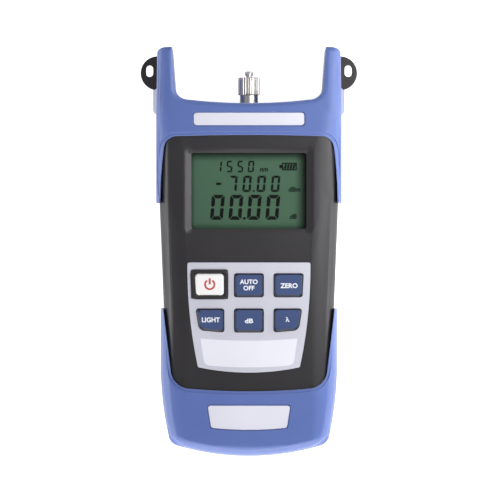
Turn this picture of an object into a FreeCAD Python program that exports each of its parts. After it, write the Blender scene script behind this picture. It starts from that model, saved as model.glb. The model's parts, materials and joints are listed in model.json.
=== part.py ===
import FreeCAD, Part
import math
import os
import re
from collections import namedtuple

import Sketcher
from FreeCAD import Vector

# A handheld optical power meter, lying on its back.
# +X is the user's right, +Y runs towards the fibre port, +Z comes out of the display.
# The origin is the middle of the surface that it lies on. Lengths are in millimetres.

sizes = [
    # name, value, what it is
    ("body_length", 190.0, "foot of the lower boot to the tips of the horns"),
    ("body_depth", 48.0, "back of the boots to their front"),
    ("rubber_wall", 1.6, "wall of the rubber boots"),
    ("shell_wall", 2.2, "wall of the hard case"),
    ("upper_half", 43.1, "half width over the upper boot"),
    ("lower_half", 41.0, "half width over the lower boot"),
    ("shoulder_at", 22.6, "height at which the upper boot begins"),
    ("waist_at", -30.0, "height at which the sides turn straight"),
    ("hip_start", -56.0, "height at which the sides begin to close in"),
    ("hip_half", 39.6, "half width midway down the hips"),
    ("hip_at", -73.0, "height midway down the hips"),
    ("foot_half", 36.6, "half width at the corners of the foot"),
    ("foot_at", -89.1, "height of the corners of the foot"),
    ("foot_corner", 5.5, "radius of those corners"),
    ("front_edge", 4.8, "rounding round the front of the hard case"),
    ("back_edge", 4.0, "rounding round the back of the hard case"),
    ("boot_edge", 4.2, "rounding round the lower boot"),
    ("horn_edge", 2.4, "rounding round the upper boot"),
    ("boot_lip", 1.6, "width of the step round each window of the boots"),
    ("lip_step", 0.5, "depth of that step"),
    # the bay between the horns
    ("bay_floor", 68.9, "height of the edge between the horns, in the middle"),
    ("bay_side", 71.2, "height of that edge beside the horns"),
    ("bay_half", 33.9, "half width between the horns at the bottom"),
    ("bay_mouth", 35.6, "half width between the horns at their tips"),
    ("bay_corner", 6.0, "radius between edge and horn"),
    ("horn_half", 42.5, "half width over the tips of the horns"),
    ("horn_round", 4.5, "outer radius of a horn's tip"),
    ("horn_nose", 2.0, "inner radius of a horn's tip"),
    ("arm_root", 60.0, "height at which the hard arms leave the case"),
    ("well_half", 30.0, "half width of the well round the port"),
    ("well_deep", 36.0, "front to back width of that well"),
    ("well_floor", 57.0, "height of its floor"),
    ("well_corner", 5.0, "corner radius of the well"),
    # windows of the boots
    ("brow_at", 54.0, "upper edge of the black face, in the middle"),
    ("brow_side", 53.3, "upper edge of the black face, at its corners"),
    ("brow_half", 38.7, "half width of the black face up there"),
    ("brow_corner", 6.0, "radius of the upper corners"),
    ("cheek_half", 40.5, "half width of the face beside the display"),
    ("cheek_at", 38.0, "height of that measure"),
    ("tongue_half", 41.2, "inner half width where the upper boot ends"),
    ("tip_at", -26.5, "height at which the lower boot ends"),
    ("tip_half", 40.0, "inner half width where the lower boot ends"),
    ("chin_half", 35.4, "inner half width at the lower corners of the face"),
    ("chin_side", -62.8, "height of those corners"),
    ("chin_at", -64.8, "lower edge of the black face, in the middle"),
    ("chin_corner", 9.0, "radius of the lower corners"),
    # strap lugs and their guards
    ("lug_half", 50.5, "half width over the strap lugs"),
    ("lug_low", 75.6, "lower edge of a lug"),
    ("lug_high", 90.9, "upper edge of a lug"),
    ("lug_thick", 6.0, "thickness of a lug"),
    ("lug_root", 38.0, "inner face of a lug's foot"),
    ("lug_foot", 1.5, "thickness and reach of the foot"),
    ("lug_rim", 2.3, "wall outside the eye"),
    ("lug_edge", 0.8, "chamfer of the lug's edges"),
    ("eye_wide", 3.8, "width of the strap eye"),
    ("eye_tall", 5.7, "length of the strap eye"),
    ("eye_at", 84.3, "height of the strap eye"),
    ("guard_half", 44.7, "half width over the guards under the lugs"),
    ("guard_low", 62.0, "lower end of a guard"),
    ("guard_deep", 15.0, "front to back width of a guard"),
    # display
    ("window_wide", 53.3, "clear width of the display"),
    ("window_tall", 35.2, "clear height of the display"),
    ("window_at", 28.1, "height of the middle of the display"),
    ("window_corner", 1.2, "corner radius of the display"),
    ("bevel_wide", 3.1, "width of the bevel round the display"),
    ("bevel_deep", 1.2, "depth of that bevel"),
    ("pane_rim", 1.9, "hidden rim of the display window"),
    ("pane_thick", 1.0, "thickness of that rim"),
    ("glass_thick", 2.8, "thickness of the liquid crystal panel"),
    ("glass_rim", 1.4, "border of the panel round the clear window"),
    ("holder_wall", 0.8, "wall of the panel's holder"),
    ("fit", 0.2, "play between pieces that seat in each other"),
    # keypad
    ("pad_half", 28.7, "half width of the keypad overlay at its top"),
    ("pad_top", -4.9, "upper edge of the overlay"),
    ("pad_mid", 27.6, "half width of the overlay halfway down"),
    ("pad_foot", 23.8, "half width of the overlay at its foot"),
    ("pad_low", -53.8, "height of its lower corners"),
    ("pad_bottom", -56.3, "lower edge of the overlay, in the middle"),
    ("pad_corner", 1.2, "corner radius of the overlay"),
    ("pad_thick", 0.5, "thickness of the overlay"),
    ("pad_sink", 0.3, "depth of its recess"),
    ("key_half", 6.7, "half width of the middle keys"),
    ("key_inner", 11.6, "inner side of the outer keys"),
    ("key_outer", 25.2, "outer side of the upper outer keys"),
    ("key_slant", 0.6, "how far that side leans in"),
    ("key_low_outer", 24.5, "outer side of the lower outer keys"),
    ("key_low_slant", 1.6, "how far that side leans in"),
    ("key_rise", 1.0, "how far their foot rises outwards"),
    ("upper_row", -10.3, "upper edge of the upper keys"),
    ("lower_row", -26.6, "upper edge of the lower keys"),
    ("key_tall", 10.7, "height of a key"),
    ("key_corner", 1.0, "corner radius of a key"),
    ("key_cut", 3.0, "corner radius at the outer foot of a lower key"),
    ("key_gap", 0.25, "gap round a key"),
    ("key_proud", 1.2, "how far a key stands above the case"),
    ("key_edge", 0.35, "chamfer of a key's top"),
    ("key_flange", 1.0, "width and thickness of a key's hidden flange"),
    ("frame_wide", 1.6, "width of the frame round the power key"),
    ("frame_proud", 0.9, "height of that frame above the case"),
    ("mat_sheet", 1.4, "thickness of the silicone mat"),
    ("mat_rim", 2.5, "mat outside the keys"),
    # board
    ("board_half", 29.3, "half width of the circuit board"),
    ("board_top", 54.0, "upper edge of the board"),
    ("board_low", -53.0, "lower edge of the board"),
    ("board_thick", 1.6, "thickness of the board"),
    ("board_sink", 6.6, "front of the board behind the case's ceiling"),
    ("board_screw_x", 27.0, "sideways place of the board's screws"),
    ("board_screw_top", 51.7, "height of its upper screws"),
    ("board_screw_low", -50.0, "height of its lower screws"),
    ("small_post", 2.0, "radius of the posts under the board"),
    ("small_screw", 0.9, "radius of the board's screws"),
    ("small_head", 1.8, "radius of their heads"),
    ("small_head_tall", 1.3, "height of their heads"),
    ("small_bite", 4.0, "how far they go into the posts"),
    # case screws
    ("screw_x", 32.6, "sideways place of the case screws"),
    ("screw_top", 14.0, "height of the upper case screws"),
    ("screw_low", -34.0, "height of the lower case screws"),
    ("post", 2.8, "radius of the front screw posts"),
    ("post_wall", 1.2, "wall of the rear posts round the screw heads"),
    ("screw", 1.4, "radius of the case screws"),
    ("head", 2.5, "radius of their heads"),
    ("head_sink", 1.6, "depth of the heads in the back"),
    ("head_tall", 2.0, "height of their heads"),
    ("screw_long", 30.0, "length of the case screws under the head"),
    # battery bay
    ("cell_radius", 7.1, "radius of an AA cell"),
    ("cell_long", 49.5, "length of a cell without its button"),
    ("button_radius", 2.75, "radius of a cell's button"),
    ("button_tall", 1.0, "height of a cell's button"),
    ("cell_pitch", 14.8, "spacing of the cells"),
    ("cell_play", 0.3, "play round the cells"),
    ("bay_end", -1.0, "upper end of the battery bay"),
    ("spring_room", 4.8, "room for a contact spring"),
    ("contact_room", 0.6, "room for a contact plate"),
    ("contact_thick", 0.5, "thickness of the contacts"),
    ("contact_wide", 8.0, "width of the contacts"),
    ("contact_tall", 11.0, "height of the contacts"),
    ("bay_wall", 1.6, "wall of the battery bay"),
    ("door_thick", 2.0, "thickness of the battery door"),
    ("door_lap", 2.6, "overlap of the door round the bay"),
    ("door_gap", 0.25, "gap round the door"),
    ("door_seat", 1.7, "material behind the door's overlap"),
    ("pin_radius", 0.6, "radius of the door's hinge pins"),
    ("pin_long", 1.4, "length of the door's hinge pins"),
    ("latch_half", 6.0, "half width of the door's latch"),
    ("latch_long", 2.4, "how far the latch stands out"),
    ("scoop_half", 8.5, "half width of the thumb scoop"),
    ("scoop_long", 7.0, "length of the thumb scoop"),
    ("scoop_deep", 1.4, "depth of the thumb scoop"),
    # nameplates
    ("plate_half", 25.9, "half width of the upper nameplate"),
    ("plate_at", 61.4, "height of its middle"),
    ("plate_tall", 6.4, "height of the upper nameplate"),
    ("plate_corner", 1.6, "its corner radius"),
    ("plate_thick", 0.5, "thickness of both nameplates"),
    ("plate_sink", 0.7, "depth of their recesses"),
    ("badge_half", 19.5, "half width of the lower nameplate at its top"),
    ("badge_foot", 17.8, "half width at its foot"),
    ("badge_top", -71.1, "its upper edge"),
    ("badge_low", -81.9, "height of its lower corners"),
    ("badge_bottom", -82.9, "its lower edge in the middle"),
    ("badge_corner", 1.2, "its corner radius"),
    # fibre port
    ("neck", 6.0, "radius of the port's neck"),
    ("neck_long", 6.0, "length of the neck under the flange"),
    ("nut_half", 8.5, "half width across the nut's flats"),
    ("nut_tall", 2.5, "height of the nut"),
    ("port_flange", 12.0, "radius of the port's flange"),
    ("port_flange_tall", 2.0, "thickness of that flange"),
    ("port_thread", 8.5, "radius of the outer thread"),
    ("port_tube", 6.0, "length of the outer thread"),
    ("port_bore", 4.1, "radius of the port's bore"),
    ("can_rim", 4.7, "radius of the detector's rim"),
    ("can_rim_tall", 0.8, "thickness of that rim"),
    ("can_tall", 4.0, "height of the detector can"),
    ("slip", 0.15, "radial play of the sliding fits"),
    ("spigot_long", 5.0, "length of the adapter's spigot"),
    ("adapter_flange", 8.0, "radius of the adapter's flange"),
    ("adapter_flange_tall", 1.6, "thickness of that flange"),
    ("stem", 4.3, "radius of the adapter's stem"),
    ("stem_long", 6.2, "length of the stem above the flange"),
    ("fibre_thread", 4.0, "radius of the fibre connector's thread, M8"),
    ("fibre_thread_long", 6.6, "length of that thread"),
    ("keyway", 2.15, "width of the keyway in the thread"),
    ("keyway_deep", 4.0, "depth of the keyway"),
    ("sleeve_outer", 1.6, "outer radius of the alignment sleeve"),
    ("ferrule", 1.25, "radius of a fibre ferrule"),
    ("sleeve_long", 11.4, "length of the alignment sleeve"),
    ("sleeve_slit", 0.4, "slit in that sleeve"),
    ("ring_outer", 10.2, "radius of the coupling ring"),
    ("ring_lip", 1.3, "thickness of the ring's lip"),
    ("ring_play", 0.3, "play of the ring along its axis"),
    ("ring_chamfer", 0.5, "chamfer of the ring's rims"),
    ("ring_knurl", 0.4, "depth of a groove of the ring's knurl"),
    ("cap_outer", 5.0, "radius of the dust cap"),
    ("cap_long", 8.4, "length of the knurled cap"),
    ("cap_lift", 0.1, "gap between cap and stem"),
    ("cap_chamfer", 0.4, "chamfer of the cap's rims"),
    ("cap_knurl", 0.3, "depth of a groove of the cap's knurl"),
    ("seal_thick", 0.6, "thickness of the seal in the cap"),
    ("seal_gap", 0.1, "gap on either side of the seal"),
    ("knob", 1.9, "radius of the knob on the cap"),
    ("knob_neck", 1.3, "radius of the knob's neck"),
    ("knob_neck_tall", 0.7, "height of that neck"),
    ("knob_tall", 2.1, "height of the knob"),
]

ring_grooves = 30
cap_grooves = 24

# Places that several pieces share.
mid_depth = "body_depth / 2"
face = "(body_depth - rubber_wall)"
ceiling = "(body_depth - rubber_wall - shell_wall)"
inner_skin = "(rubber_wall + shell_wall)"
case_top = "(bay_floor - rubber_wall)"
room_top = "(well_floor - shell_wall)"
board_front = f"({ceiling} - board_sink)"
board_back = f"({board_front} - board_thick)"
pane_back = f"({ceiling} - pane_thick)"
tube_face = "(well_floor + port_flange_tall + port_tube)"
stem_top = f"({tube_face} + adapter_flange_tall + stem_long)"
door_back = "rubber_wall"
door_front = "(rubber_wall + door_thick)"
bay_back = f"({door_front} + cell_play)"
cell_axis = f"({bay_back} + cell_radius)"
bay_roof = f"({cell_axis} + cell_radius + cell_play)"
bay_width = "(cell_pitch + cell_radius + cell_play)"
bay_foot = "(bay_end - contact_room - cell_long - button_tall - spring_room)"
door_foot = f"({bay_foot} - door_lap)"
door_head = "(bay_end + door_lap)"
hinge_at = f"({door_foot} + door_thick / 2)"

Corner = namedtuple("Corner", "x y radius", defaults=("0",))
Through = namedtuple("Through", "x y")

document = FreeCAD.newDocument("OpticalPowerMeter")
sheet = document.addObject("Spreadsheet::Sheet", "Sizes")
for row, (name, number, meaning) in enumerate(sizes, 1):
    sheet.set(f"A{row}", meaning)
    sheet.set(f"B{row}", str(number))
    sheet.setAlias(f"B{row}", name)
document.recompute()


def value(expression):
    """Number that an expression in the sheet's names comes to."""
    return float(sheet.evalExpression(expression))


def bind(item, quantity, expression):
    """Tie a property to an expression in the sheet's names."""
    named = re.sub(r"\b[a-z][a-z_]*\b(?!\()", lambda word: "Sizes." + word.group(), expression)
    item.setExpression(quantity, named)


def new_body(label, x="0", y="0", z="0"):
    body = document.addObject("PartDesign::Body", "Body")
    body.Label = label
    for axis, place in (("x", x), ("y", y), ("z", z)):
        if place != "0":
            bind(body, f"Placement.Base.{axis}", place)
    return body


def origin_item(body, role):
    return next(item for item in body.Origin.OriginFeatures if item.Role == role)


def new_sketch(body, plane="XY_Plane", offset="0"):
    sketch = body.newObject("Sketcher::SketchObject", "Sketch")
    sketch.AttachmentSupport = [(origin_item(body, plane), "")]
    sketch.MapMode = "FlatFace"
    bind(sketch, "AttachmentOffset.Base.z", offset)
    return sketch


class Side:
    """One straight or curved side of an outline, from start to end."""

    def __init__(self, start, middle, end):
        self.start = start
        self.middle = middle
        self.end = end
        if middle is None:
            self.curve = Part.Line(start, end)
            self.turn = 0
        else:
            self.curve = Part.Circle(start, middle, end)
            self.turn = math.copysign(1, (middle - start).cross(end - middle).z)

    def direction(self, point):
        if self.middle is None:
            return (self.end - self.start).normalize()
        arm = (point - self.curve.Center).normalize()
        return Vector(-arm.y, arm.x, 0) * self.turn

    def beside(self, distance):
        """The endless curve that runs at a distance to the left of this side."""
        if self.middle is None:
            along = self.direction(self.start)
            shift = Vector(-along.y, along.x, 0) * distance
            return Part.Line(self.start + shift, self.end + shift)
        return Part.Circle(self.curve.Center, Vector(0, 0, 1), self.curve.Radius - self.turn * distance)

    def touch(self, point):
        return self.curve.value(self.curve.parameter(point))


def arc(centre, radius, start, end, turn):
    """Arc that always runs anticlockwise, as sketches keep it."""
    first, last = (start, end) if turn > 0 else (end, start)
    begin = math.atan2(first.y - centre.y, first.x - centre.x)
    finish = math.atan2(last.y - centre.y, last.x - centre.x)
    if finish <= begin:
        finish += 2 * math.pi
    return Part.ArcOfCircle(Part.Circle(centre, Vector(0, 0, 1), radius), begin, finish)


def hold(sketch, geometry, vertex, x, y):
    """Fix a point of a sketch at a place given by two expressions."""
    for kind, expression, across in (("DistanceX", x, -2), ("DistanceY", y, -1)):
        if expression == "0":
            sketch.addConstraint(Sketcher.Constraint("PointOnObject", geometry, vertex, across))
        else:
            distance = Sketcher.Constraint(kind, -1, 1, geometry, vertex, value(expression))
            bind(sketch, f"Constraints[{sketch.addConstraint(distance)}]", expression)


def mark(sketch, point, *through):
    """Construction point that the given sides pass through."""
    spot = sketch.addGeometry(Part.Point(Vector(value(point.x), value(point.y), 0)), True)
    hold(sketch, spot, 1, point.x, point.y)
    for side in through:
        sketch.addConstraint(Sketcher.Constraint("PointOnObject", spot, 1, side))


def outline(sketch, points):
    """Closed outline, anticlockwise, through corners that may be rounded and arcs that may join them."""
    first = next(n for n, point in enumerate(points) if isinstance(point, Corner))
    points = points[first:] + points[:first]
    corners = [point for point in points if isinstance(point, Corner)]
    spots = [Vector(value(point.x), value(point.y), 0) for point in corners]
    bends = [None] * len(corners)
    seen = -1
    for point in points:
        if isinstance(point, Corner):
            seen += 1
        else:
            bends[seen] = point
    sides = []
    for n, bend in enumerate(bends):
        middle = bend and Vector(value(bend.x), value(bend.y), 0)
        sides.append(Side(spots[n], middle, spots[(n + 1) % len(spots)]))

    rounds = [None] * len(corners)
    for n, corner in enumerate(corners):
        radius = value(corner.radius)
        if radius <= 0:
            continue
        before, after = sides[n - 1], sides[n]
        turn = math.copysign(1, before.direction(spots[n]).cross(after.direction(spots[n])).z)
        meets = before.beside(turn * radius).intersectCC(after.beside(turn * radius))
        centre = min((Vector(p.X, p.Y, 0) for p in meets), key=lambda p: p.distanceToPoint(spots[n]))
        rounds[n] = (centre, radius, before.touch(centre), after.touch(centre), turn)

    pieces = []
    for n, side in enumerate(sides):
        start = rounds[n][3] if rounds[n] else side.start
        ahead = rounds[(n + 1) % len(rounds)]
        end = ahead[2] if ahead else side.end
        if side.middle is None:
            shape = Part.LineSegment(start, end)
        else:
            shape = arc(side.curve.Center, side.curve.Radius, start, end, side.turn)
        ends = (2, 1) if side.turn < 0 else (1, 2)
        pieces.append((sketch.addGeometry(shape), *ends))

    for n, corner in enumerate(corners):
        before, after = pieces[n - 1], pieces[n]
        if rounds[n] is None:
            sketch.addConstraint(Sketcher.Constraint("Coincident", before[0], before[2], after[0], after[1]))
            hold(sketch, after[0], after[1], corner.x, corner.y)
            continue
        bow = sketch.addGeometry(arc(*rounds[n]))
        enter, leave = (2, 1) if rounds[n][4] < 0 else (1, 2)
        sketch.addConstraint(Sketcher.Constraint("Tangent", before[0], before[2], bow, enter))
        sketch.addConstraint(Sketcher.Constraint("Tangent", bow, leave, after[0], after[1]))
        size = sketch.addConstraint(Sketcher.Constraint("Radius", bow, rounds[n][1]))
        bind(sketch, f"Constraints[{size}]", corner.radius)
        mark(sketch, corner, before[0], after[0])
    for bend, piece in zip(bends, pieces):
        if bend:
            mark(sketch, bend, piece[0])


def circle(sketch, x, y, radius):
    place = Vector(value(x), value(y), 0)
    ring = sketch.addGeometry(Part.Circle(place, Vector(0, 0, 1), value(radius)))
    hold(sketch, ring, 3, x, y)
    size = sketch.addConstraint(Sketcher.Constraint("Radius", ring, value(radius)))
    bind(sketch, f"Constraints[{size}]", radius)


def flipped(points):
    """The same outline on the other side of the middle line, still anticlockwise."""
    return [point._replace(x=f"-({point.x})") if point.x != "0" else point for point in reversed(points)]


def mirrored(right):
    """Whole outline from its right half, listed upwards."""
    return right + [point for point in flipped(right) if point.x != "0"]


def rectangle(left, low, right, high, radius="0"):
    places = ((left, low), (right, low), (right, high), (left, high))
    return [Corner(x, y, radius) for x, y in places]


def centred(x, y, half_wide, half_tall, radius="0"):
    return rectangle(f"{x} - ({half_wide})", f"{y} - ({half_tall})",
                     f"{x} + ({half_wide})", f"{y} + ({half_tall})", radius)


def pad(body, sketch, length, midplane=False, backwards=False):
    extrusion = body.newObject("PartDesign::Pad", "Pad")
    extrusion.Profile = sketch
    extrusion.Midplane = midplane
    extrusion.Reversed = backwards
    bind(extrusion, "Length", length)
    return extrusion


def pocket(body, sketch, length, midplane=False, backwards=False):
    cut_out = body.newObject("PartDesign::Pocket", "Pocket")
    cut_out.Profile = sketch
    cut_out.Midplane = midplane
    cut_out.Reversed = backwards
    bind(cut_out, "Length", length)
    return cut_out


def slab(body, outlines, low, high):
    """Pad closed outlines from one height to another."""
    sketch = new_sketch(body, "XY_Plane", low)
    for points in outlines:
        outline(sketch, points)
    return pad(body, sketch, f"{high} - ({low})")


def sink(body, outlines, low, high):
    """Cut closed outlines from the upper height down to the lower."""
    sketch = new_sketch(body, "XY_Plane", high)
    for points in outlines:
        outline(sketch, points)
    return pocket(body, sketch, f"{high} - ({low})")


def discs(body, places, radius, low, high):
    """Pad the same circle at several places."""
    sketch = new_sketch(body, "XY_Plane", low)
    for x, y in places:
        circle(sketch, x, y, radius)
    return pad(body, sketch, f"{high} - ({low})")


def turned(label, start, profile):
    """Piece turned about the port's axis; its profile lists radius and place along the axis."""
    body = new_body(label, y=start, z=mid_depth)
    sketch = new_sketch(body)
    outline(sketch, [Corner(*point) for point in profile])
    turning = body.newObject("PartDesign::Revolution", "Revolution")
    turning.Profile = sketch
    turning.ReferenceAxis = (sketch, ["V_Axis"])
    turning.Angle = 360
    return body


def pattern(body, feature, count, plane_axis="Y_Axis"):
    """Repeat a feature all round an axis of its body."""
    copies = body.newObject("PartDesign::PolarPattern", "PolarPattern")
    copies.Originals = [feature]
    copies.Axis = (origin_item(body, plane_axis), [""])
    copies.Angle = 360
    copies.Occurrences = count
    body.Tip = copies
    return copies


def treat_edges(body, kind, quantity, size, chosen):
    """Fillet or chamfer the edges of a body's last feature that a test picks."""
    document.recompute()
    last = body.Tip
    picked = [f"Edge{n}" for n, edge in enumerate(last.Shape.Edges, 1) if chosen(edge.BoundBox)]
    dressing = body.newObject(f"PartDesign::{kind}", kind)
    dressing.Base = (last, picked)
    bind(dressing, quantity, size)
    return dressing


def round_edges(body, radius, chosen):
    return treat_edges(body, "Fillet", "Radius", radius, chosen)


def bevel_edges(body, size, chosen):
    return treat_edges(body, "Chamfer", "Size", size, chosen)


def at_height(box, *heights):
    """Whether an edge lies flat at one of the given heights."""
    return any(abs(box.ZMin - h) < 0.01 and abs(box.ZMax - h) < 0.01 for h in heights)


def fuse(label, *pieces):
    joined = document.addObject("Part::MultiFuse", "Fusion")
    joined.Label = label
    joined.Shapes = pieces
    joined.Refine = True
    return joined


def cut(label, base, *tools):
    remains = document.addObject("Part::Cut", "Cut")
    remains.Label = label
    remains.Base = base
    remains.Tool = tools[0] if len(tools) == 1 else fuse(f"{label}_openings", *tools)
    remains.Refine = True
    return remains


def common(label, base, tool):
    shared = document.addObject("Part::Common", "Common")
    shared.Label = label
    shared.Base = base
    shared.Tool = tool
    return shared


# The case and its boots

def flank(inset):
    """Right half of the case's plan from the foot to the shoulder, a distance inside the boots."""
    return [
        Through("0", f"-body_length / 2 + {inset}"),
        Corner(f"foot_half - {inset}", f"foot_at + {inset}", f"max(foot_corner - {inset}; 1)"),
        Through(f"hip_half - {inset}", "hip_at"),
        Corner(f"lower_half - {inset}", "hip_start"),
        Corner(f"lower_half - {inset}", "waist_at"),
        Corner(f"upper_half - {inset}", "shoulder_at"),
    ]


def case_solid(label, inset, top, front, back):
    """The case, or the room in it, without horns; front and back are the radii round its faces."""
    body = new_body(label)
    right = flank(inset) + [Corner(f"upper_half - {inset}", top)]
    slab(body, [mirrored(right)], inset, f"body_depth - {inset}")
    for radius, height in ((front, value(f"body_depth - {inset}")), (back, value(inset))):
        round_edges(body, radius, lambda box: at_height(box, height) and box.YMin < value(top) - 0.01)
    return body


def arms():
    """Hard arms that stiffen the horns and hold the strap lugs."""
    body = new_body("arms")
    right = [
        Corner("bay_half + rubber_wall", "arm_root"),
        Corner("upper_half - rubber_wall", "arm_root"),
        Corner("horn_half - rubber_wall", "body_length / 2 - rubber_wall", "horn_round - rubber_wall"),
        Corner("bay_mouth + rubber_wall", "body_length / 2 - rubber_wall"),
    ]
    slab(body, [right, flipped(right)], "2 * rubber_wall", "body_depth - 2 * rubber_wall")
    return body


def well():
    """Room for fingers round the port, open towards +Y."""
    body = new_body("well_room", y="well_floor")
    sketch = new_sketch(body, "XZ_Plane")
    outline(sketch, centred("0", mid_depth, "well_half", "well_deep / 2", "well_corner"))
    pad(body, sketch, "body_length / 2 - well_floor", backwards=True)
    return body


def half_space(label, low, high):
    block = document.addObject("Part::Box", "Box")
    block.Label = label
    bind(block, "Length", "2 * upper_half")
    bind(block, "Width", "body_length")
    bind(block, "Height", f"{high} - ({low})")
    bind(block, "Placement.Base.x", "-upper_half")
    bind(block, "Placement.Base.y", "-body_length / 2")
    bind(block, "Placement.Base.z", low)
    return block


def posts(label, places, radius, low, high):
    body = new_body(label)
    discs(body, places, radius, low, high)
    return body


def both_sides(x, heights):
    return [(f"{side}{x}", y) for y in heights for side in ("", "-")]


case_screw_places = both_sides("screw_x", ("screw_top", "screw_low"))
board_screw_places = both_sides("board_screw_x", ("board_screw_top", "board_screw_low"))


def port_hole():
    hole = document.addObject("Part::Cylinder", "Cylinder")
    hole.Label = "port_hole"
    bind(hole, "Radius", "neck + fit / 2")
    bind(hole, "Height", "2 * shell_wall")
    hole.Placement.Rotation = FreeCAD.Rotation(Vector(1, 0, 0), -90)
    bind(hole, "Placement.Base.y", "well_floor - 1.5 * shell_wall")
    bind(hole, "Placement.Base.z", mid_depth)
    return hole


# Keys

def key_plan(side, upper, grow="0"):
    """Outline of a key: side is -1, 0 or 1, upper tells the row, grow widens it all round."""
    row = "upper_row" if upper else "lower_row"
    low = f"{row} - key_tall - {grow}"
    high = f"{row} + {grow}"
    radius = f"key_corner + {grow}"
    if side == 0:
        return rectangle(f"-key_half - {grow}", low, f"key_half + {grow}", high, radius)
    outer, slant, rise, heel = ("key_outer", "key_slant", "0", radius)
    if not upper:
        outer, slant, rise, heel = ("key_low_outer", "key_low_slant", "key_rise", f"key_cut + {grow}")
    right = [
        Corner(f"key_inner - {grow}", low, radius),
        Corner(f"{outer} - {slant} + {grow}", f"{low} + {rise}", heel),
        Corner(f"{outer} + {grow}", high, radius),
        Corner(f"key_inner - {grow}", high, radius),
    ]
    return right if side > 0 else flipped(right)


key_places = {
    "power_key": (-1, True),
    "auto_off_key": (0, True),
    "zero_key": (1, True),
    "light_key": (-1, False),
    "decibel_key": (0, False),
    "wavelength_key": (1, False),
}


def key(label, side, upper):
    """A key: a cap through the case on a flange that keeps it in."""
    body = new_body(label)
    top = f"{face} + key_proud"
    low = f"({ceiling} - fit)"
    slab(body, [key_plan(side, upper, "key_flange")], f"{low} - key_flange", low)
    slab(body, [key_plan(side, upper)], low, top)
    bevel_edges(body, "key_edge", lambda box: at_height(box, value(top)))
    return body


def key_mat():
    """Silicone mat on the board with a plunger under each key."""
    body = new_body("key_mat")
    reach = "(key_outer + mat_rim)"
    low = "lower_row - key_tall - mat_rim"
    slab(body, [rectangle(f"-{reach}", low, reach, "upper_row + mat_rim", "mat_rim")],
         board_front, f"{board_front} + mat_sheet")
    plungers = [key_plan(side, upper, "(-mat_rim)") for side, upper in key_places.values()]
    for points in plungers:
        for n, point in enumerate(points):
            points[n] = point._replace(radius="0")
    slab(body, plungers, f"{board_front} + mat_sheet", f"{ceiling} - fit - key_flange")
    return body


def overlay_plan(grow="0"):
    right = [
        Through("0", f"pad_bottom - {grow}"),
        Corner(f"pad_foot + {grow}", f"pad_low - {grow}", f"pad_corner + {grow}"),
        Through(f"pad_mid + {grow}", "(pad_top + pad_low) / 2"),
        Corner(f"pad_half + {grow}", f"pad_top + {grow}", f"pad_corner + {grow}"),
    ]
    return mirrored(right)


def keypad_overlay():
    """Printed overlay, stuck in its recess, with an opening for each key."""
    body = new_body("keypad_overlay")
    low = f"({face} - pad_sink)"
    high = f"({low} + pad_thick)"
    slab(body, [overlay_plan("(-fit)")], low, high)
    holes = [key_plan(*place, "key_gap") for name, place in key_places.items() if name != "power_key"]
    holes.append(key_plan(*key_places["power_key"], "(key_gap + frame_wide + fit)"))
    sink(body, holes, low, high)
    return body


def power_frame():
    """Raised frame of the case round the power key."""
    body = new_body("power_frame")
    frame = [key_plan(*key_places["power_key"], f"(key_gap + {wall})") for wall in ("frame_wide", "0")]
    slab(body, [frame[0]], ceiling, f"{face} + frame_proud")
    sink(body, [frame[1]], ceiling, f"{face} + frame_proud")
    return body


# Display

def display_opening():
    """Bevel that leads down to the display, and the hole behind it."""
    body = new_body("display_opening")
    sill = f"({face} - bevel_deep)"
    plans = [
        (face, "window_wide / 2 + bevel_wide", "window_tall / 2 + bevel_wide", "window_corner + bevel_wide / 2"),
        (sill, "window_wide / 2", "window_tall / 2", "window_corner"),
    ]
    sketches = []
    for height, half_wide, half_tall, radius in plans:
        sketch = new_sketch(body, "XY_Plane", height)
        outline(sketch, centred("0", "window_at", half_wide, half_tall, radius))
        sketches.append(sketch)
    funnel = body.newObject("PartDesign::AdditiveLoft", "Loft")
    funnel.Profile = sketches[0]
    funnel.Sections = [sketches[1]]
    hole = centred("0", "window_at", "window_wide / 2", "window_tall / 2", "window_corner")
    slab(body, [hole], f"{ceiling} - shell_wall", sill)
    return body


def display_window():
    """Clear window, stepped so that it fills the opening from behind."""
    body = new_body("display_window")
    rim = centred("0", "window_at", "window_wide / 2 + pane_rim", "window_tall / 2 + pane_rim", "pane_rim")
    centre = centred("0", "window_at", "window_wide / 2 - fit / 2", "window_tall / 2 - fit / 2", "window_corner")
    slab(body, [rim], pane_back, ceiling)
    slab(body, [centre], ceiling, f"{face} - bevel_deep")
    return body


def panel_outline(grow):
    border = f"glass_rim + {grow}"
    return centred("0", "window_at", f"window_wide / 2 + {border}", f"window_tall / 2 + {border}")


def lcd_panel():
    body = new_body("lcd_panel")
    top = f"({pane_back} - fit)"
    slab(body, [panel_outline("0")], f"{top} - glass_thick", top)
    return body


def lcd_holder():
    """Tray with the light guide that carries the panel above the board."""
    body = new_body("lcd_holder")
    top = f"({pane_back} - fit)"
    slab(body, [panel_outline("fit + holder_wall")], board_front, top)
    sink(body, [panel_outline("fit")], f"{top} - glass_thick", top)
    return body


# Circuit board

def main_board():
    body = new_body("main_board")
    slab(body, [rectangle("-board_half", "board_low", "board_half", "board_top", "small_post")],
         board_back, board_front)
    sketch = new_sketch(body, "XY_Plane", board_front)
    for x, y in board_screw_places:
        circle(sketch, x, y, "small_screw + fit / 2")
    pocket(body, sketch, "board_thick")
    return body


def board_chips():
    """Converter, controller, amplifier and two chokes behind the board."""
    body = new_body("board_chips")
    chips = [
        centred("0", "window_at", "window_wide / 8", "window_wide / 8"),
        centred("-window_wide / 3", "window_at", "window_wide / 16", "window_wide / 10"),
        centred("window_wide / 3", "window_at", "window_wide / 16", "window_wide / 10"),
        centred("-window_wide / 5", "upper_row", "window_wide / 20", "window_wide / 20"),
        centred("window_wide / 5", "upper_row", "window_wide / 20", "window_wide / 20"),
    ]
    slab(body, chips, f"{board_back} - board_thick", board_back)
    return body


# The two shells

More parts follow.
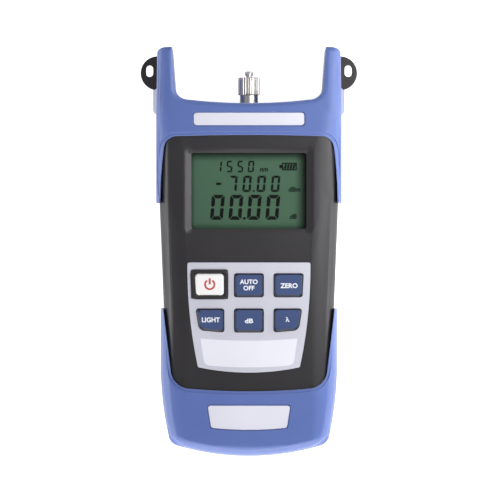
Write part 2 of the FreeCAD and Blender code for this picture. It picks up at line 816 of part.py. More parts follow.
def case_blank(arm_pair):
    case = case_solid("case_solid", "rubber_wall", case_top, "front_edge", "back_edge")
    return fuse("case_blank", case, arm_pair)


def front_shell(blank, room, well_room, hole, lugs):
    half = common("front_blank", blank, half_space("front_space", mid_depth, "body_depth"))
    recess = new_body("overlay_recess")
    slab(recess, [overlay_plan()], f"{face} - pad_sink", "body_depth")
    hollow = cut("front_hollow", half, room, recess)
    case_posts = posts("front_posts", case_screw_places, "post", mid_depth, ceiling)
    board_posts = posts("board_posts", board_screw_places, "small_post", board_front, ceiling)
    whole = fuse("front_ribbed", hollow, case_posts, board_posts, power_frame())
    keyholes = new_body("keyholes")
    holes = [key_plan(*place, "key_gap") for place in key_places.values()]
    slab(keyholes, holes, f"{ceiling} - shell_wall", "body_depth")
    bores = posts("front_bores", case_screw_places, "screw", mid_depth,
                  "rubber_wall + head_sink + head_tall + screw_long")
    board_bores = posts("board_bores", board_screw_places, "small_screw", board_front,
                        f"{board_front} + small_bite")
    return cut("front_shell", whole, well_room, display_opening(), keyholes, bores, board_bores, hole, *lugs)


def rear_shell(blank, room, well_room, hole, lugs):
    half = common("rear_blank", blank, half_space("rear_space", "rubber_wall", mid_depth))
    hollow = cut("rear_hollow", half, room)
    case_posts = posts("rear_posts", case_screw_places, "head + fit + post_wall", "rubber_wall", mid_depth)
    bay = new_body("battery_walls")
    lap = "(door_lap + door_gap + bay_wall)"
    slab(bay, [rectangle(f"-{bay_width} - {lap}", f"{bay_foot} - {lap}",
                         f"{bay_width} + {lap}", f"bay_end + {lap}", "bay_wall")],
         "rubber_wall", f"{door_front} + door_seat")
    slab(bay, [rectangle(f"-{bay_width} - bay_wall", f"{bay_foot} - bay_wall",
                         f"{bay_width} + bay_wall", "bay_end + bay_wall", "bay_wall")],
         "rubber_wall", f"{bay_roof} + bay_wall")
    whole = fuse("rear_ribbed", hollow, case_posts, bay)
    cells = new_body("cell_room")
    slab(cells, [rectangle(f"-{bay_width}", bay_foot, bay_width, "bay_end")], "rubber_wall", bay_roof)
    doorway = battery_door_plan("doorway", "door_gap", "rubber_wall", f"{door_front} + door_gap / 2")
    scoop = new_body("thumb_scoop")
    slab(scoop, [rectangle("-scoop_half", door_head, "scoop_half", f"{door_head} + scoop_long", "scoop_deep")],
         "rubber_wall", "rubber_wall + scoop_deep")
    heads = posts("head_bores", case_screw_places, "head + fit", "0", "rubber_wall + head_sink + head_tall")
    bores = posts("rear_bores", case_screw_places, "screw + fit / 2", "rubber_wall", mid_depth)
    sockets = hinge_pins("hinge_sockets", "fit / 2")
    return cut("rear_shell", whole, well_room, cells, doorway, scoop, heads, bores, sockets, hole, *lugs)


# Battery door and cells

def battery_door_plan(label, grow, low, high):
    """Plate of the door, with its far end rounded about the hinge."""
    body = new_body(label)
    half = f"{bay_width} + door_lap + {grow}"
    slab(body, [rectangle(f"-({half})", hinge_at, half, f"{door_head} + {grow}")], low, high)
    sketch = new_sketch(body, "YZ_Plane")
    circle(sketch, hinge_at, f"({door_back} + door_thick / 2)", f"door_thick / 2 + {grow}")
    pad(body, sketch, f"2 * ({half})", midplane=True)
    return body


def hinge_pins(label, grow):
    body = new_body(label)
    sketch = new_sketch(body, "YZ_Plane")
    circle(sketch, hinge_at, f"({door_back} + door_thick / 2)", f"pin_radius + {grow}")
    pad(body, sketch, f"2 * ({bay_width} + door_lap + pin_long + {grow})", midplane=True)
    return body


def battery_door():
    """Door over the cells, with hinge pins, a latch for the thumb and two stiffening ribs."""
    body = battery_door_plan("door_plate", "0", door_back, door_front)
    latch = new_body("door_latch")
    slab(latch, [rectangle("-latch_half", f"{door_head} - latch_long", "latch_half",
                           f"{door_head} + latch_long", "latch_long / 3")],
         door_back, "rubber_wall + scoop_deep - fit")
    grips = new_body("door_grips")
    ridges = [centred("0", f"{door_head} - {n} * latch_long", "latch_half", "latch_long / 4") for n in (2, 3, 4)]
    slab(grips, ridges, "rubber_wall", "rubber_wall + scoop_deep / 3")
    plain = cut("door_gripped", body, grips)
    return fuse("battery_door", plain, latch, hinge_pins("door_pins", "0"))


def cell(number):
    """AA cell; the middle one lies the other way round."""
    way = -1 if number == 2 else 1
    foot = f"{bay_foot} + spring_room" if way > 0 else "bay_end - spring_room"
    body = new_body(f"battery_{number}", x=f"{number - 2} * cell_pitch", y=foot, z=cell_axis)
    body.Placement.Rotation = FreeCAD.Rotation(Vector(0, 0, 1), 0 if way > 0 else 180)
    profile = [
        ("0", "0"), ("cell_radius - cell_play", "0"), ("cell_radius", "cell_play"),
        ("cell_radius", "cell_long - cell_play"), ("cell_radius - cell_play", "cell_long"),
        ("button_radius", "cell_long"), ("button_radius", "cell_long + button_tall"),
        ("0", "cell_long + button_tall"),
    ]
    sketch = new_sketch(body)
    outline(sketch, [Corner(*point) for point in profile])
    turning = body.newObject("PartDesign::Revolution", "Revolution")
    turning.Profile = sketch
    turning.ReferenceAxis = (sketch, ["V_Axis"])
    turning.Angle = 360
    return body


def contact_springs():
    """Bowed leaf springs at the flat ends of the cells."""
    leaves = []
    for number in (1, 2, 3):
        way = -1 if number == 2 else 1
        body = new_body(f"spring_{number}", x=f"{number - 2} * cell_pitch",
                        y=bay_foot if way > 0 else "bay_end", z=cell_axis)
        body.Placement.Rotation = FreeCAD.Rotation(Vector(0, 0, 1), 0 if way > 0 else 180)
        sketch = new_sketch(body, "YZ_Plane")
        outline(sketch, [
            Corner("0", "-contact_tall / 2"), Through("spring_room - fit / 2", "0"),
            Corner("0", "contact_tall / 2"), Corner("0", "contact_tall / 2 - 2 * contact_thick"),
            Through("spring_room - fit / 2 - contact_thick", "0"),
            Corner("0", "2 * contact_thick - contact_tall / 2"),
        ])
        pad(body, sketch, "contact_wide", midplane=True)
        leaves.append(body)
    return fuse("contact_springs", *leaves)


def contact_plates():
    """Flat plates at the buttons of the cells."""
    body = new_body("contact_plates")
    for number, wall in ((1, "bay_end"), (2, f"({bay_foot} + contact_thick)"), (3, "bay_end")):
        plan = rectangle(f"{number - 2} * cell_pitch - contact_wide / 2", f"{wall} - contact_thick",
                         f"{number - 2} * cell_pitch + contact_wide / 2", wall)
        slab(body, [plan], f"{cell_axis} - contact_tall / 2", f"{cell_axis} + contact_tall / 2")
    return body


# Screws

def screws(label, places, shank, head, head_at, head_tall, tip):
    """Group of equal screws that point to +Z, with a cross recess in each head."""
    body = new_body(label)
    discs(body, places, head, head_at, f"{head_at} + {head_tall}")
    discs(body, places, shank, f"{head_at} + {head_tall}", tip)
    for half_wide, half_tall in ((f"0.6 * {head}", f"0.16 * {head}"), (f"0.16 * {head}", f"0.6 * {head}")):
        sketch = new_sketch(body, "XY_Plane", head_at)
        for x, y in places:
            outline(sketch, centred(x, y, half_wide, half_tall))
        pocket(body, sketch, f"0.5 * {head_tall}", backwards=True)
    return body


def housing_screws():
    head_at = "(rubber_wall + head_sink)"
    return screws("housing_screws", case_screw_places, "screw", "head", head_at, "head_tall",
                  f"{head_at} + head_tall + screw_long")


def board_screws():
    head_at = f"({board_back} - small_head_tall)"
    return screws("board_screws", board_screw_places, "small_screw", "small_head", head_at,
                  "small_head_tall", f"{board_front} + small_bite")


# Boots, lugs and nameplates

def boot_window(label, plan, lipped):
    """Opening of a boot through its whole depth, with a step round it front and back."""
    body = new_body(label)
    slab(body, [plan], "-lip_step", "body_depth + lip_step")
    slab(body, [lipped], "body_depth - lip_step", "body_depth + lip_step")
    slab(body, [lipped], "-lip_step", "lip_step")
    return body


def brow_plan(grow="0"):
    """Opening of the upper boot round the black face."""
    return mirrored([
        Corner("tongue_half", "shoulder_at - rubber_wall"),
        Through(f"cheek_half + {grow}", "cheek_at"),
        Corner(f"brow_half + {grow}", f"brow_side + {grow}", f"brow_corner + {grow}"),
        Through("0", f"brow_at + {grow}"),
    ])


def chin_plan(grow="0"):
    """Opening of the lower boot round the black face."""
    return mirrored([
        Through("0", f"chin_at - {grow}"),
        Corner(f"chin_half + {grow}", f"chin_side - {grow}", f"chin_corner + {grow}"),
        Corner("tip_half", "tip_at + rubber_wall"),
    ])


def plate_plan(grow="0"):
    return centred("0", "plate_at", f"plate_half + {grow}", f"plate_tall / 2 + {grow}", f"plate_corner + {grow}")


def badge_plan(grow="0"):
    return mirrored([
        Through("0", f"badge_bottom - {grow}"),
        Corner(f"badge_foot + {grow}", f"badge_low - {grow}", f"badge_corner + {grow}"),
        Corner(f"badge_half + {grow}", f"badge_top + {grow}", f"badge_corner + {grow}"),
    ])


def plate_recess(plan):
    body = new_body("plate_recess")
    slab(body, [plan], "body_depth - plate_sink", "body_depth")
    return body


def nameplate(label, plan):
    body = new_body(label)
    low = "(body_depth - plate_sink)"
    slab(body, [plan], low, f"{low} + plate_thick")
    bevel_edges(body, "plate_thick / 3", lambda box: at_height(box, value(f"{low} + plate_thick")))
    return body


def upper_boot(blank, well_room, lugs):
    """Rubber boot with the two horns and the edge of the bay between them."""
    body = new_body("upper_boot_solid")
    slab(body, [mirrored([
        Corner("upper_half", "shoulder_at"),
        Corner("upper_half", "(guard_low - horn_edge)"),
        Corner("horn_half", "body_length / 2", "horn_round"),
        Corner("bay_mouth", "body_length / 2", "horn_nose"),
        Corner("bay_half", "bay_side", "bay_corner"),
        Through("0", "bay_floor"),
    ])], "0", "body_depth")
    heights = (0, value("body_depth"))
    round_edges(body, "horn_edge", lambda box: at_height(box, *heights) and box.YMax > value("shoulder_at") + 0.01)
    guards = new_body("lug_guards")
    right = [
        Corner("upper_half - rubber_wall", "guard_low"),
        Corner("guard_half", "guard_low + 2 * rubber_wall", "rubber_wall"),
        Corner("guard_half", "lug_low - fit", "rubber_wall / 2"),
        Corner("upper_half - rubber_wall", "lug_low + rubber_wall / 2"),
    ]
    slab(guards, [right, flipped(right)], f"{mid_depth} - guard_deep / 2", f"{mid_depth} + guard_deep / 2")
    whole = fuse("upper_boot_whole", body, guards)
    return cut("upper_boot", whole, blank, boot_window("brow_window", brow_plan(), brow_plan("boot_lip")),
               well_room, plate_recess(plate_plan("fit")), *lugs)


def lower_boot(blank):
    body = new_body("lower_boot_solid")
    slab(body, [mirrored(flank("0")[:4] + [Corner("lower_half", "tip_at")])], "0", "body_depth")
    heights = (0, value("body_depth"))
    round_edges(body, "boot_edge", lambda box: at_height(box, *heights) and box.YMin < value("tip_at") - 0.01)
    return cut("lower_boot", body, blank, boot_window("chin_window", chin_plan(), chin_plan("boot_lip")),
               plate_recess(badge_plan("fit")))


def lug_plan():
    return [
        Corner("lug_root", "lug_low"),
        Corner("lug_half - 4.5", "lug_low + 0.2", "4"),
        Corner("lug_half", "lug_low + 5", "3.5"),
        Corner("lug_half", "lug_high - 2.9", "4"),
        Corner("lug_half - 3.5", "lug_high", "2.5"),
        Corner("lug_root", "lug_high"),
    ]


def strap_lug(label, side):
    """Nylon eye for the strap, held in its arm by a foot."""
    body = new_body(label)
    plans = [lug_plan(), rectangle("lug_root", "lug_low - lug_foot", "lug_root + lug_foot", "lug_high + lug_foot")]
    eye = centred("lug_half - lug_rim - eye_wide / 2", "eye_at", "eye_wide / 2", "eye_tall / 2", "0.48 * eye_wide")
    if side < 0:
        plans = [flipped(plan) for plan in plans]
        eye = flipped(eye)
    low, high = (f"{mid_depth} {sign} lug_thick / 2" for sign in "-+")
    slab(body, [plans[0]], low, high)
    sink(body, [eye], low, high)
    heights = (value(low), value(high))
    outside = value("lug_half - lug_rim - eye_wide - lug_edge")
    bevel_edges(body, "lug_edge",
                lambda box: at_height(box, *heights) and min(abs(box.XMin), abs(box.XMax)) > outside)
    slab(body, [plans[1]], f"{low} - lug_foot", f"{high} + lug_foot")
    return body


# Fibre port

def port_base():
    """Flange and threaded tube that carry the detector and the adapter."""
    return turned("port_base", "well_floor", [
        ("port_bore", "-neck_long"), ("neck", "-neck_long"), ("neck", "0"), ("port_flange", "0"),
        ("port_flange", "port_flange_tall"), ("port_thread", "port_flange_tall"),
        ("port_thread", "port_flange_tall + port_tube"), ("port_bore", "port_flange_tall + port_tube"),
    ])


def port_nut():
    """Hexagonal nut that clamps the port to the case from inside."""
    body = new_body("port_nut", y=f"{room_top} - nut_tall", z=mid_depth)
    sketch = new_sketch(body, "XZ_Plane")
    far = "nut_half / cos(30)"
    hexagon = [Corner(f"{far} * cos({turn})", f"{far} * sin({turn})") for turn in range(0, 360, 60)]
    outline(sketch, hexagon)
    circle(sketch, "0", "0", "neck")
    pad(body, sketch, "nut_tall", backwards=True)
    return body


def detector_can():
    return turned("detector_can", "well_floor - neck_long", [
        ("0", "-can_rim_tall"), ("can_rim", "-can_rim_tall"), ("can_rim", "0"),
        ("port_bore - slip", "0"), ("port_bore - slip", "can_tall"), ("0", "can_tall"),
    ])


def fibre_adapter():
    """Adapter barrel: spigot, flange, stem and the threaded end for a fibre connector."""
    thread_end = "adapter_flange_tall + stem_long + fibre_thread_long"
    body = turned("fibre_adapter", tube_face, [
        ("sleeve_outer + slip / 3", "-spigot_long"), ("port_bore - slip", "-spigot_long"), ("port_bore - slip", "0"),
        ("adapter_flange", "0"), ("adapter_flange", "adapter_flange_tall"), ("stem", "adapter_flange_tall"),
        ("stem", "adapter_flange_tall + stem_long"), ("fibre_thread", "adapter_flange_tall + stem_long"),
        ("fibre_thread", thread_end), ("sleeve_outer + slip / 3", thread_end),
    ])
    sketch = new_sketch(body, "XZ_Plane", f"-({thread_end})")
    outline(sketch, rectangle("-keyway / 2", "sleeve_outer + slip", "keyway / 2", "fibre_thread + slip"))
    pocket(body, sketch, "keyway_deep", backwards=True)
    return body


def alignment_sleeve():
    """Split ceramic sleeve that centres the ferrule."""
    body = turned("alignment_sleeve", f"{stem_top} + fibre_thread_long - sleeve_long - fit", [
        ("ferrule", "0"), ("sleeve_outer", "0"), ("sleeve_outer", "sleeve_long"), ("ferrule", "sleeve_long"),
    ])
    sketch = new_sketch(body)
    outline(sketch, rectangle("0", "-fit", "2 * sleeve_outer", "sleeve_long + fit"))
    pocket(body, sketch, "sleeve_slit", midplane=True)
    return body


def knurl(body, radius, groove, low, high, count):
    """Cut straight V grooves, as wide as twice their depth, into the rim of a turned piece."""
    sketch = new_sketch(body, "XZ_Plane", f"-({high})")
    far = f"{radius} + {groove}"
    outline(sketch, [Corner(f"{radius} - {groove}", "0"), Corner(far, f"-2 * {groove}"), Corner(far, f"2 * {groove}")])
    pattern(body, pocket(body, sketch, f"{high} - ({low})", backwards=True), count)


def coupling_ring():
    """Knurled ring that draws the adapter onto the port."""
    roof = "(adapter_flange_tall + ring_play)"
    body = turned("coupling_ring", tube_face, [
        ("port_thread + slip", "-spigot_long"), ("ring_outer", "-spigot_long"),
        ("ring_outer", f"{roof} + ring_lip"), ("stem + ring_play", f"{roof} + ring_lip"),
        ("stem + ring_play", roof), ("port_thread + slip", roof),
    ])
    rim = value("2 * ring_outer")
    bevel_edges(body, "ring_chamfer", lambda box: box.YLength < 0.01 and abs(box.XLength - rim) < 0.01)
    knurl(body, "ring_outer", "ring_knurl", "-spigot_long", f"{roof} + ring_lip", ring_grooves)
    return body


def dust_cap():
    """Knurled screw cap with a knob for a tether."""
    roof = "(fibre_thread_long + 2 * seal_gap + seal_thick)"
    cap_end = "(cap_lift + cap_long)"
    knob_at = f"({cap_end} + knob_neck_tall)"
    knob_end = f"({knob_at} + knob_tall)"
    body = turned("dust_cap", stem_top, [
        ("0", roof), ("fibre_thread + slip", roof), ("fibre_thread + slip", "cap_lift"),
        ("cap_outer", "cap_lift"), ("cap_outer", cap_end), ("knob_neck", cap_end), ("knob_neck", knob_at),
        ("knob", knob_at), ("knob", f"{knob_end} - cap_chamfer"), ("knob - cap_chamfer", knob_end), ("0", knob_end),
    ])
    rim = value("2 * cap_outer")
    bevel_edges(body, "cap_chamfer", lambda box: box.YLength < 0.01 and abs(box.XLength - rim) < 0.01)
    knurl(body, "cap_outer", "cap_knurl", "cap_lift", cap_end, cap_grooves)
    return body


def cap_seal():
    low = "fibre_thread_long + seal_gap"
    return turned("cap_seal", stem_top, [
        ("0", low), ("fibre_thread", low), ("fibre_thread", f"{low} + seal_thick"), ("0", f"{low} + seal_thick"),
    ])


def all_pieces():
    lugs = (strap_lug("strap_lug_left", -1), strap_lug("strap_lug_right", 1))
    blank = case_blank(arms())
    room = case_solid("case_room", inner_skin, room_top, "front_edge - shell_wall", "back_edge - shell_wall")
    well_room = well()
    hole = port_hole()
    pieces = [
        front_shell(blank, room, well_room, hole, lugs),
        rear_shell(blank, room, well_room, hole, lugs),
        upper_boot(blank, well_room, lugs),
        lower_boot(blank),
        *lugs,
        nameplate("upper_plate", plate_plan()),
        nameplate("lower_plate", badge_plan()),
        display_window(),
        lcd_panel(),
        lcd_holder(),
        keypad_overlay(),
        key_mat(),
        main_board(),
        board_chips(),
        port_base(),
        port_nut(),
        detector_can(),
        fibre_adapter(),
        alignment_sleeve(),
        coupling_ring(),
        dust_cap(),
        cap_seal(),
        battery_door(),
        *(cell(number) for number in (1, 2, 3)),
        contact_springs(),
        contact_plates(),
        housing_screws(),
        board_screws(),
    ]
    pieces += [key(name, *place) for name, place in key_places.items()]
    return pieces


pieces = all_pieces()
document.recompute()
for item in document.Objects:
    if {"Invalid", "Error"} & set(item.State):
        raise RuntimeError(f"{item.Label} could not be built: {item.State}")
for piece in pieces:
    if piece.Shape.isNull() or not piece.Shape.isValid():
        raise RuntimeError(f"{piece.Label} has no valid shape")

os.makedirs("parts", exist_ok=True)
for piece in pieces:
    piece.Shape.exportStep(f"parts/{piece.Label}.step")
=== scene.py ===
import json
import math

import bpy
from mathutils import Matrix, Vector


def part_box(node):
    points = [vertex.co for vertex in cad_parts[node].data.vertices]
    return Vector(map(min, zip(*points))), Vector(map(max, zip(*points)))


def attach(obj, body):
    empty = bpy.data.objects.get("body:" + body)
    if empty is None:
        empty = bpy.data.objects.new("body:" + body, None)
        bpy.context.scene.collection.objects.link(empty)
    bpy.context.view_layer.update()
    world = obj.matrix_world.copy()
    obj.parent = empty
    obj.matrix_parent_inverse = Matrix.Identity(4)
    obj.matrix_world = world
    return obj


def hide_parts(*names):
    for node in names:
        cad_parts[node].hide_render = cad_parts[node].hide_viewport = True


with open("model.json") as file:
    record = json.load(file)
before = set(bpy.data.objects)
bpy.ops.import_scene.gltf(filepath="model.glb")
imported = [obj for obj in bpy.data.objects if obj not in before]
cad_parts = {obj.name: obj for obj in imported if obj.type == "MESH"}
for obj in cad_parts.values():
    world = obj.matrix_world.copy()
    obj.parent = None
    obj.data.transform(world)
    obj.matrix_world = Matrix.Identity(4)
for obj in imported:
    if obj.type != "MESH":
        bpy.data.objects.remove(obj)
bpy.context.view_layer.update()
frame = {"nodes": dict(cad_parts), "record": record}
mm = 0.001
print("frame loaded:", len(frame["nodes"]), "CAD nodes")


# Helpers for modelling

# Leaves only the given piece selected and active.
def pick(piece):
    if bpy.context.object and bpy.context.object.mode != "OBJECT":
        bpy.ops.object.mode_set(mode="OBJECT")
    bpy.ops.object.select_all(action="DESELECT")
    bpy.context.view_layer.objects.active = piece
    piece.select_set(True)


# Goes into edit mode with only the vertices, or the faces, that the test picks.
def grasp(piece, test, faces=False):
    bpy.ops.object.mode_set(mode="OBJECT")
    bpy.context.tool_settings.mesh_select_mode = (not faces, False, faces)
    mesh = piece.data
    for part in (*mesh.vertices, *mesh.edges, *mesh.polygons):
        part.select = False
    for part in (mesh.polygons if faces else mesh.vertices):
        part.select = test(part)
    bpy.ops.object.mode_set(mode="EDIT")


# Adds a modifier to the active piece and applies it.
def finishWith(kind, **settings):
    bpy.ops.object.modifier_add(type=kind)
    modifier = bpy.context.object.modifiers[-1]
    for name, value in settings.items():
        setattr(modifier, name, value)
    bpy.ops.object.modifier_apply(modifier=modifier.name)


# Gives a copy of a piece its own mesh, placed by a matrix in that mesh.
def placedCopy(piece, matrix, name):
    double = piece.copy()
    double.data = piece.data.copy()
    double.name = name
    bpy.context.collection.objects.link(double)
    double.data.transform(matrix)
    if matrix.determinant() < 0:
        double.data.flip_normals()
    return double


# Joins pieces into the first one.
def joined(pieces, name):
    pick(pieces[0])
    for piece in pieces:
        piece.select_set(True)
    bpy.ops.object.join()
    bpy.context.object.name = name
    return bpy.context.object


# Puts a finished piece on its body, with its material.
def settle(piece, body, finish):
    piece.data.materials.clear()
    piece.data.materials.append(finish)
    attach(piece, body)
    return piece


# Helpers for the materials

# Turns an sRGB hex colour into the linear values that a shader takes.
def paint(hexColour):
    channels = [int(hexColour[place:place + 2], 16) / 255 for place in (1, 3, 5)]
    linear = [c / 12.92 if c <= 0.04045 else ((c + 0.055) / 1.055) ** 2.4 for c in channels]
    return (*linear, 1.0)


# Adds a node with its settings; an input that is a socket is linked, anything else is a value.
def addNode(tree, kind, inputs=None, **settings):
    node = tree.nodes.new(kind)
    for name, value in settings.items():
        setattr(node, name, value)
    for key, value in (inputs or {}).items():
        if isinstance(value, bpy.types.NodeSocket):
            tree.links.new(value, node.inputs[key])
        else:
            node.inputs[key].default_value = value
    return node


# Starts a material: its tree, its shader with the constant sockets set, and the place on the piece.
def startFinish(name, **sockets):
    finish = bpy.data.materials.new(name)
    finish.use_nodes = True
    tree = finish.node_tree
    shader = tree.nodes["Principled BSDF"]
    for socket, value in sockets.items():
        shader.inputs[socket.replace("_", " ")].default_value = value
    place = addNode(tree, "ShaderNodeTexCoord").outputs["Object"]
    return finish, tree, shader, place


# Mixes two colours by a factor socket and gives the result to the shader's base colour.
def tint(tree, shader, factor, dark, light):
    mix = addNode(tree, "ShaderNodeMix", {"Factor": factor, 6: paint(dark), 7: paint(light)},
                  data_type="RGBA")
    tree.links.new(mix.outputs[2], shader.inputs["Base Color"])


# Moulded surface: a fine grain in the height, and clouds about 22 mm across in colour and gloss.
def moulded(tree, shader, place, grain, depth, dark, light, gloss):
    fine = addNode(tree, "ShaderNodeTexNoise", {"Vector": place, "Scale": 1 / grain, "Detail": 2.0})
    bump = addNode(tree, "ShaderNodeBump", {"Height": fine.outputs["Fac"], "Distance": depth,
                                            "Strength": 1.0})
    tree.links.new(bump.outputs["Normal"], shader.inputs["Normal"])
    cloud = addNode(tree, "ShaderNodeTexNoise", {"Vector": place, "Scale": 45.0, "Detail": 3.0})
    tint(tree, shader, cloud.outputs["Fac"], dark, light)
    rough = addNode(tree, "ShaderNodeMapRange", {"Value": cloud.outputs["Fac"], "To Min": gloss[0],
                                                 "To Max": gloss[1]})
    tree.links.new(rough.outputs["Result"], shader.inputs["Roughness"])


# Turned metal: rings left by the tool along the turning axis; a wave repeats 3.2 times in its scale's length.
def turnedRings(tree, shader, place, pitch, depth):
    rings = addNode(tree, "ShaderNodeTexWave", {"Vector": place, "Scale": 1 / pitch / 3.2,
                                                "Distortion": 0.6, "Detail": 2.0, "Detail Scale": 2.0},
                    bands_direction="Y")
    bump = addNode(tree, "ShaderNodeBump", {"Height": rings.outputs["Fac"], "Distance": depth,
                                            "Strength": 0.6})
    tree.links.new(bump.outputs["Normal"], shader.inputs["Normal"])
    return rings


# ABS, spark-eroded mould: charcoal with a fine even grain of about 0.3 mm and a satin gloss
def grainedAbs():
    finish, tree, shader, place = startFinish("grainedAbs", IOR=1.54)
    moulded(tree, shader, place, 0.3 * mm, 0.012 * mm, "#18151a", "#1f1c21", (0.38, 0.46))
    return finish


# Thermoplastic rubber, matt moulded: slate blue, soft gloss, grain of about 0.25 mm
def matRubber():
    finish, tree, shader, place = startFinish("matRubber", IOR=1.5, Sheen_Weight=1.0, Sheen_Roughness=0.3)
    moulded(tree, shader, place, 0.25 * mm, 0.012 * mm, "#5469aa", "#5c72b2", (0.4, 0.5))
    return finish


# Nylon, moulded in a polished tool: near black and glossy, with faint flow clouds
def glossNylon():
    finish, tree, shader, place = startFinish("glossNylon", IOR=1.53)
    moulded(tree, shader, place, 1.2 * mm, 0.006 * mm, "#2a2526", "#342e2f", (0.2, 0.3))
    return finish


# Printed polycarbonate label: pale lavender, satin, with the fine pearl of its ink
def labelFilm():
    finish, tree, shader, place = startFinish("labelFilm", IOR=1.58)
    moulded(tree, shader, place, 0.22 * mm, 0.003 * mm, "#dadae8", "#e6e6f2", (0.32, 0.42))
    return finish


# Keypad film, polycarbonate printed silver on its back: pearly silver lavender under a velvet face
def silverFilm():
    finish, tree, shader, place = startFinish("silverFilm", IOR=1.58, Metallic=0.12)
    moulded(tree, shader, place, 0.18 * mm, 0.004 * mm, "#c6c6d4", "#d4d4e0", (0.38, 0.46))
    return finish


# Screen-printed pale panel on the keypad film: flat ink, a little lighter than the film
def paleInk():
    finish, tree, shader, place = startFinish("paleInk", IOR=1.5)
    moulded(tree, shader, place, 0.2 * mm, 0.003 * mm, "#e2e2ee", "#ececf6", (0.42, 0.5))
    return finish


# Acrylic, injection moulded and hard coated: clear, with a haze that varies over about 33 mm
def clearAcrylic():
    finish, tree, shader, place = startFinish("clearAcrylic", IOR=1.49, Alpha=0.1, Specular_IOR_Level=0.3)
    shader.inputs["Base Color"].default_value = paint("#0c120e")
    smear = addNode(tree, "ShaderNodeTexNoise", {"Vector": place, "Scale": 30.0, "Detail": 2.0})
    haze = addNode(tree, "ShaderNodeMapRange", {"Value": smear.outputs["Fac"], "To Min": 0.02,
                                                "To Max": 0.06})
    tree.links.new(haze.outputs["Result"], shader.inputs["Roughness"])
    return finish


# Painted shade of the frame on the display: axis, side, reach in mm, and how deep it is at its darkest
paintedFrameShade = (("X", 1, 8.0, 0.97), ("X", -1, 4.0, 0.45), ("Y", 1, 6.4, 0.85), ("Y", -1, 4.6, 0.5))
darkestAt = 1.6     # mm inside the frame


# Twisted nematic display with a reflective polariser: green grey with clouds of 17 mm, with painted shade
# darkening it towards the frame
def displayGlass():
    finish, tree, shader, place = startFinish("displayGlass", IOR=1.5, Roughness=0.45,
                                              Specular_IOR_Level=0.15)
    low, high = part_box("display_window")
    middle, half = (low + high) / 2, (high - low) / 2
    centred = addNode(tree, "ShaderNodeMapping", {"Vector": place, "Location": (-middle.x, -middle.y, 0.0)})
    axes = addNode(tree, "ShaderNodeSeparateXYZ", {"Vector": centred.outputs["Vector"]})
    cloud = addNode(tree, "ShaderNodeTexNoise", {"Vector": place, "Scale": 60.0, "Detail": 2.0})
    light = addNode(tree, "ShaderNodeMapRange", {"Value": cloud.outputs["Fac"], "To Min": 0.94,
                                                 "To Max": 1.04}).outputs["Result"]
    # painted shade: the panel's colour darkens towards each edge of the frame
    for axis, sign, rim, depth in paintedFrameShade:
        reach = half.x if axis == "X" else half.y
        start, end = sign * (reach - rim * mm), sign * (reach - darkestAt * mm)
        fade = addNode(tree, "ShaderNodeMapRange", {"Value": axes.outputs[axis], "From Min": start,
                                                    "From Max": end, "To Min": 1.0, "To Max": 1.0 - depth},
                       interpolation_type="SMOOTHSTEP").outputs["Result"]
        light = addNode(tree, "ShaderNodeMath", {0: light, 1: fade}, operation="MULTIPLY").outputs[0]
    tint(tree, shader, light, "#060c08", "#587c63")
    grid = addNode(tree, "ShaderNodeTexNoise", {"Vector": place, "Scale": 1 / (0.2 * mm), "Detail": 1.0})
    bump = addNode(tree, "ShaderNodeBump", {"Height": grid.outputs["Fac"], "Distance": 0.002 * mm})
    tree.links.new(bump.outputs["Normal"], shader.inputs["Normal"])
    return finish


# Switched-on liquid crystal: nearly black green, as flat as ink
def darkCrystal():
    finish, tree, shader, place = startFinish("darkCrystal", IOR=1.5, Roughness=0.5, Specular_IOR_Level=0.15)
    cloud = addNode(tree, "ShaderNodeTexNoise", {"Vector": place, "Scale": 1 / (2.5 * mm)})
    tint(tree, shader, cloud.outputs["Fac"], "#050906", "#0a100b")
    return finish


# Silicone key cap, sprayed and hard coated: slate blue satin on its top, with its sides painted navy as shade
def sprayedBlue():
    finish, tree, shader, place = startFinish("sprayedBlue", IOR=1.45)
    moulded(tree, shader, place, 0.22 * mm, 0.006 * mm, "#384973", "#40527d", (0.34, 0.42))
    # painted shade: faces that turn away from straight up are coloured navy
    facing = addNode(tree, "ShaderNodeNewGeometry").outputs["True Normal"]
    rise = addNode(tree, "ShaderNodeSeparateXYZ", {"Vector": facing}).outputs["Z"]
    top = addNode(tree, "ShaderNodeMapRange", {"Value": rise, "From Min": 0.85, "From Max": 0.95})
    sprayed = shader.inputs["Base Color"].links[0].from_socket
    shadedSides = addNode(tree, "ShaderNodeMix", {"Factor": top.outputs["Result"], 6: paint("#12182c"), 7: sprayed},
                   data_type="RGBA")
    tree.links.new(shadedSides.outputs[2], shader.inputs["Base Color"])
    return finish


# Silicone key cap left white under a clear coat
def sprayedWhite():
    finish, tree, shader, place = startFinish("sprayedWhite", IOR=1.45)
    moulded(tree, shader, place, 0.22 * mm, 0.005 * mm, "#f0eeee", "#f8f7f7", (0.3, 0.38))
    return finish


# Pad-printed ink of the legends: flat, with the slight mottle of the pad
def padInk(name, dark, light):
    finish, tree, shader, place = startFinish(name, IOR=1.5, Roughness=0.42)
    mottle = addNode(tree, "ShaderNodeTexNoise", {"Vector": place, "Scale": 1 / (0.4 * mm)})
    tint(tree, shader, mottle.outputs["Fac"], dark, light)
    return finish


# Nickel plate on turned brass: bright, faintly warm, with tool rings drawn 0.2 mm apart so that they show
def nickelPlate():
    finish, tree, shader, place = startFinish("nickelPlate", Metallic=1.0)
    rings = turnedRings(tree, shader, place, 0.2 * mm, 0.001 * mm)
    tint(tree, shader, rings.outputs["Fac"], "#c3beb9", "#d6d1cc")
    stain = addNode(tree, "ShaderNodeTexNoise", {"Vector": place, "Scale": 1 / (4 * mm), "Detail": 3.0})
    rough = addNode(tree, "ShaderNodeMapRange", {"Value": stain.outputs["Fac"], "To Min": 0.24,
                                                 "To Max": 0.36})
    tree.links.new(rough.outputs["Result"], shader.inputs["Roughness"])
    return finish


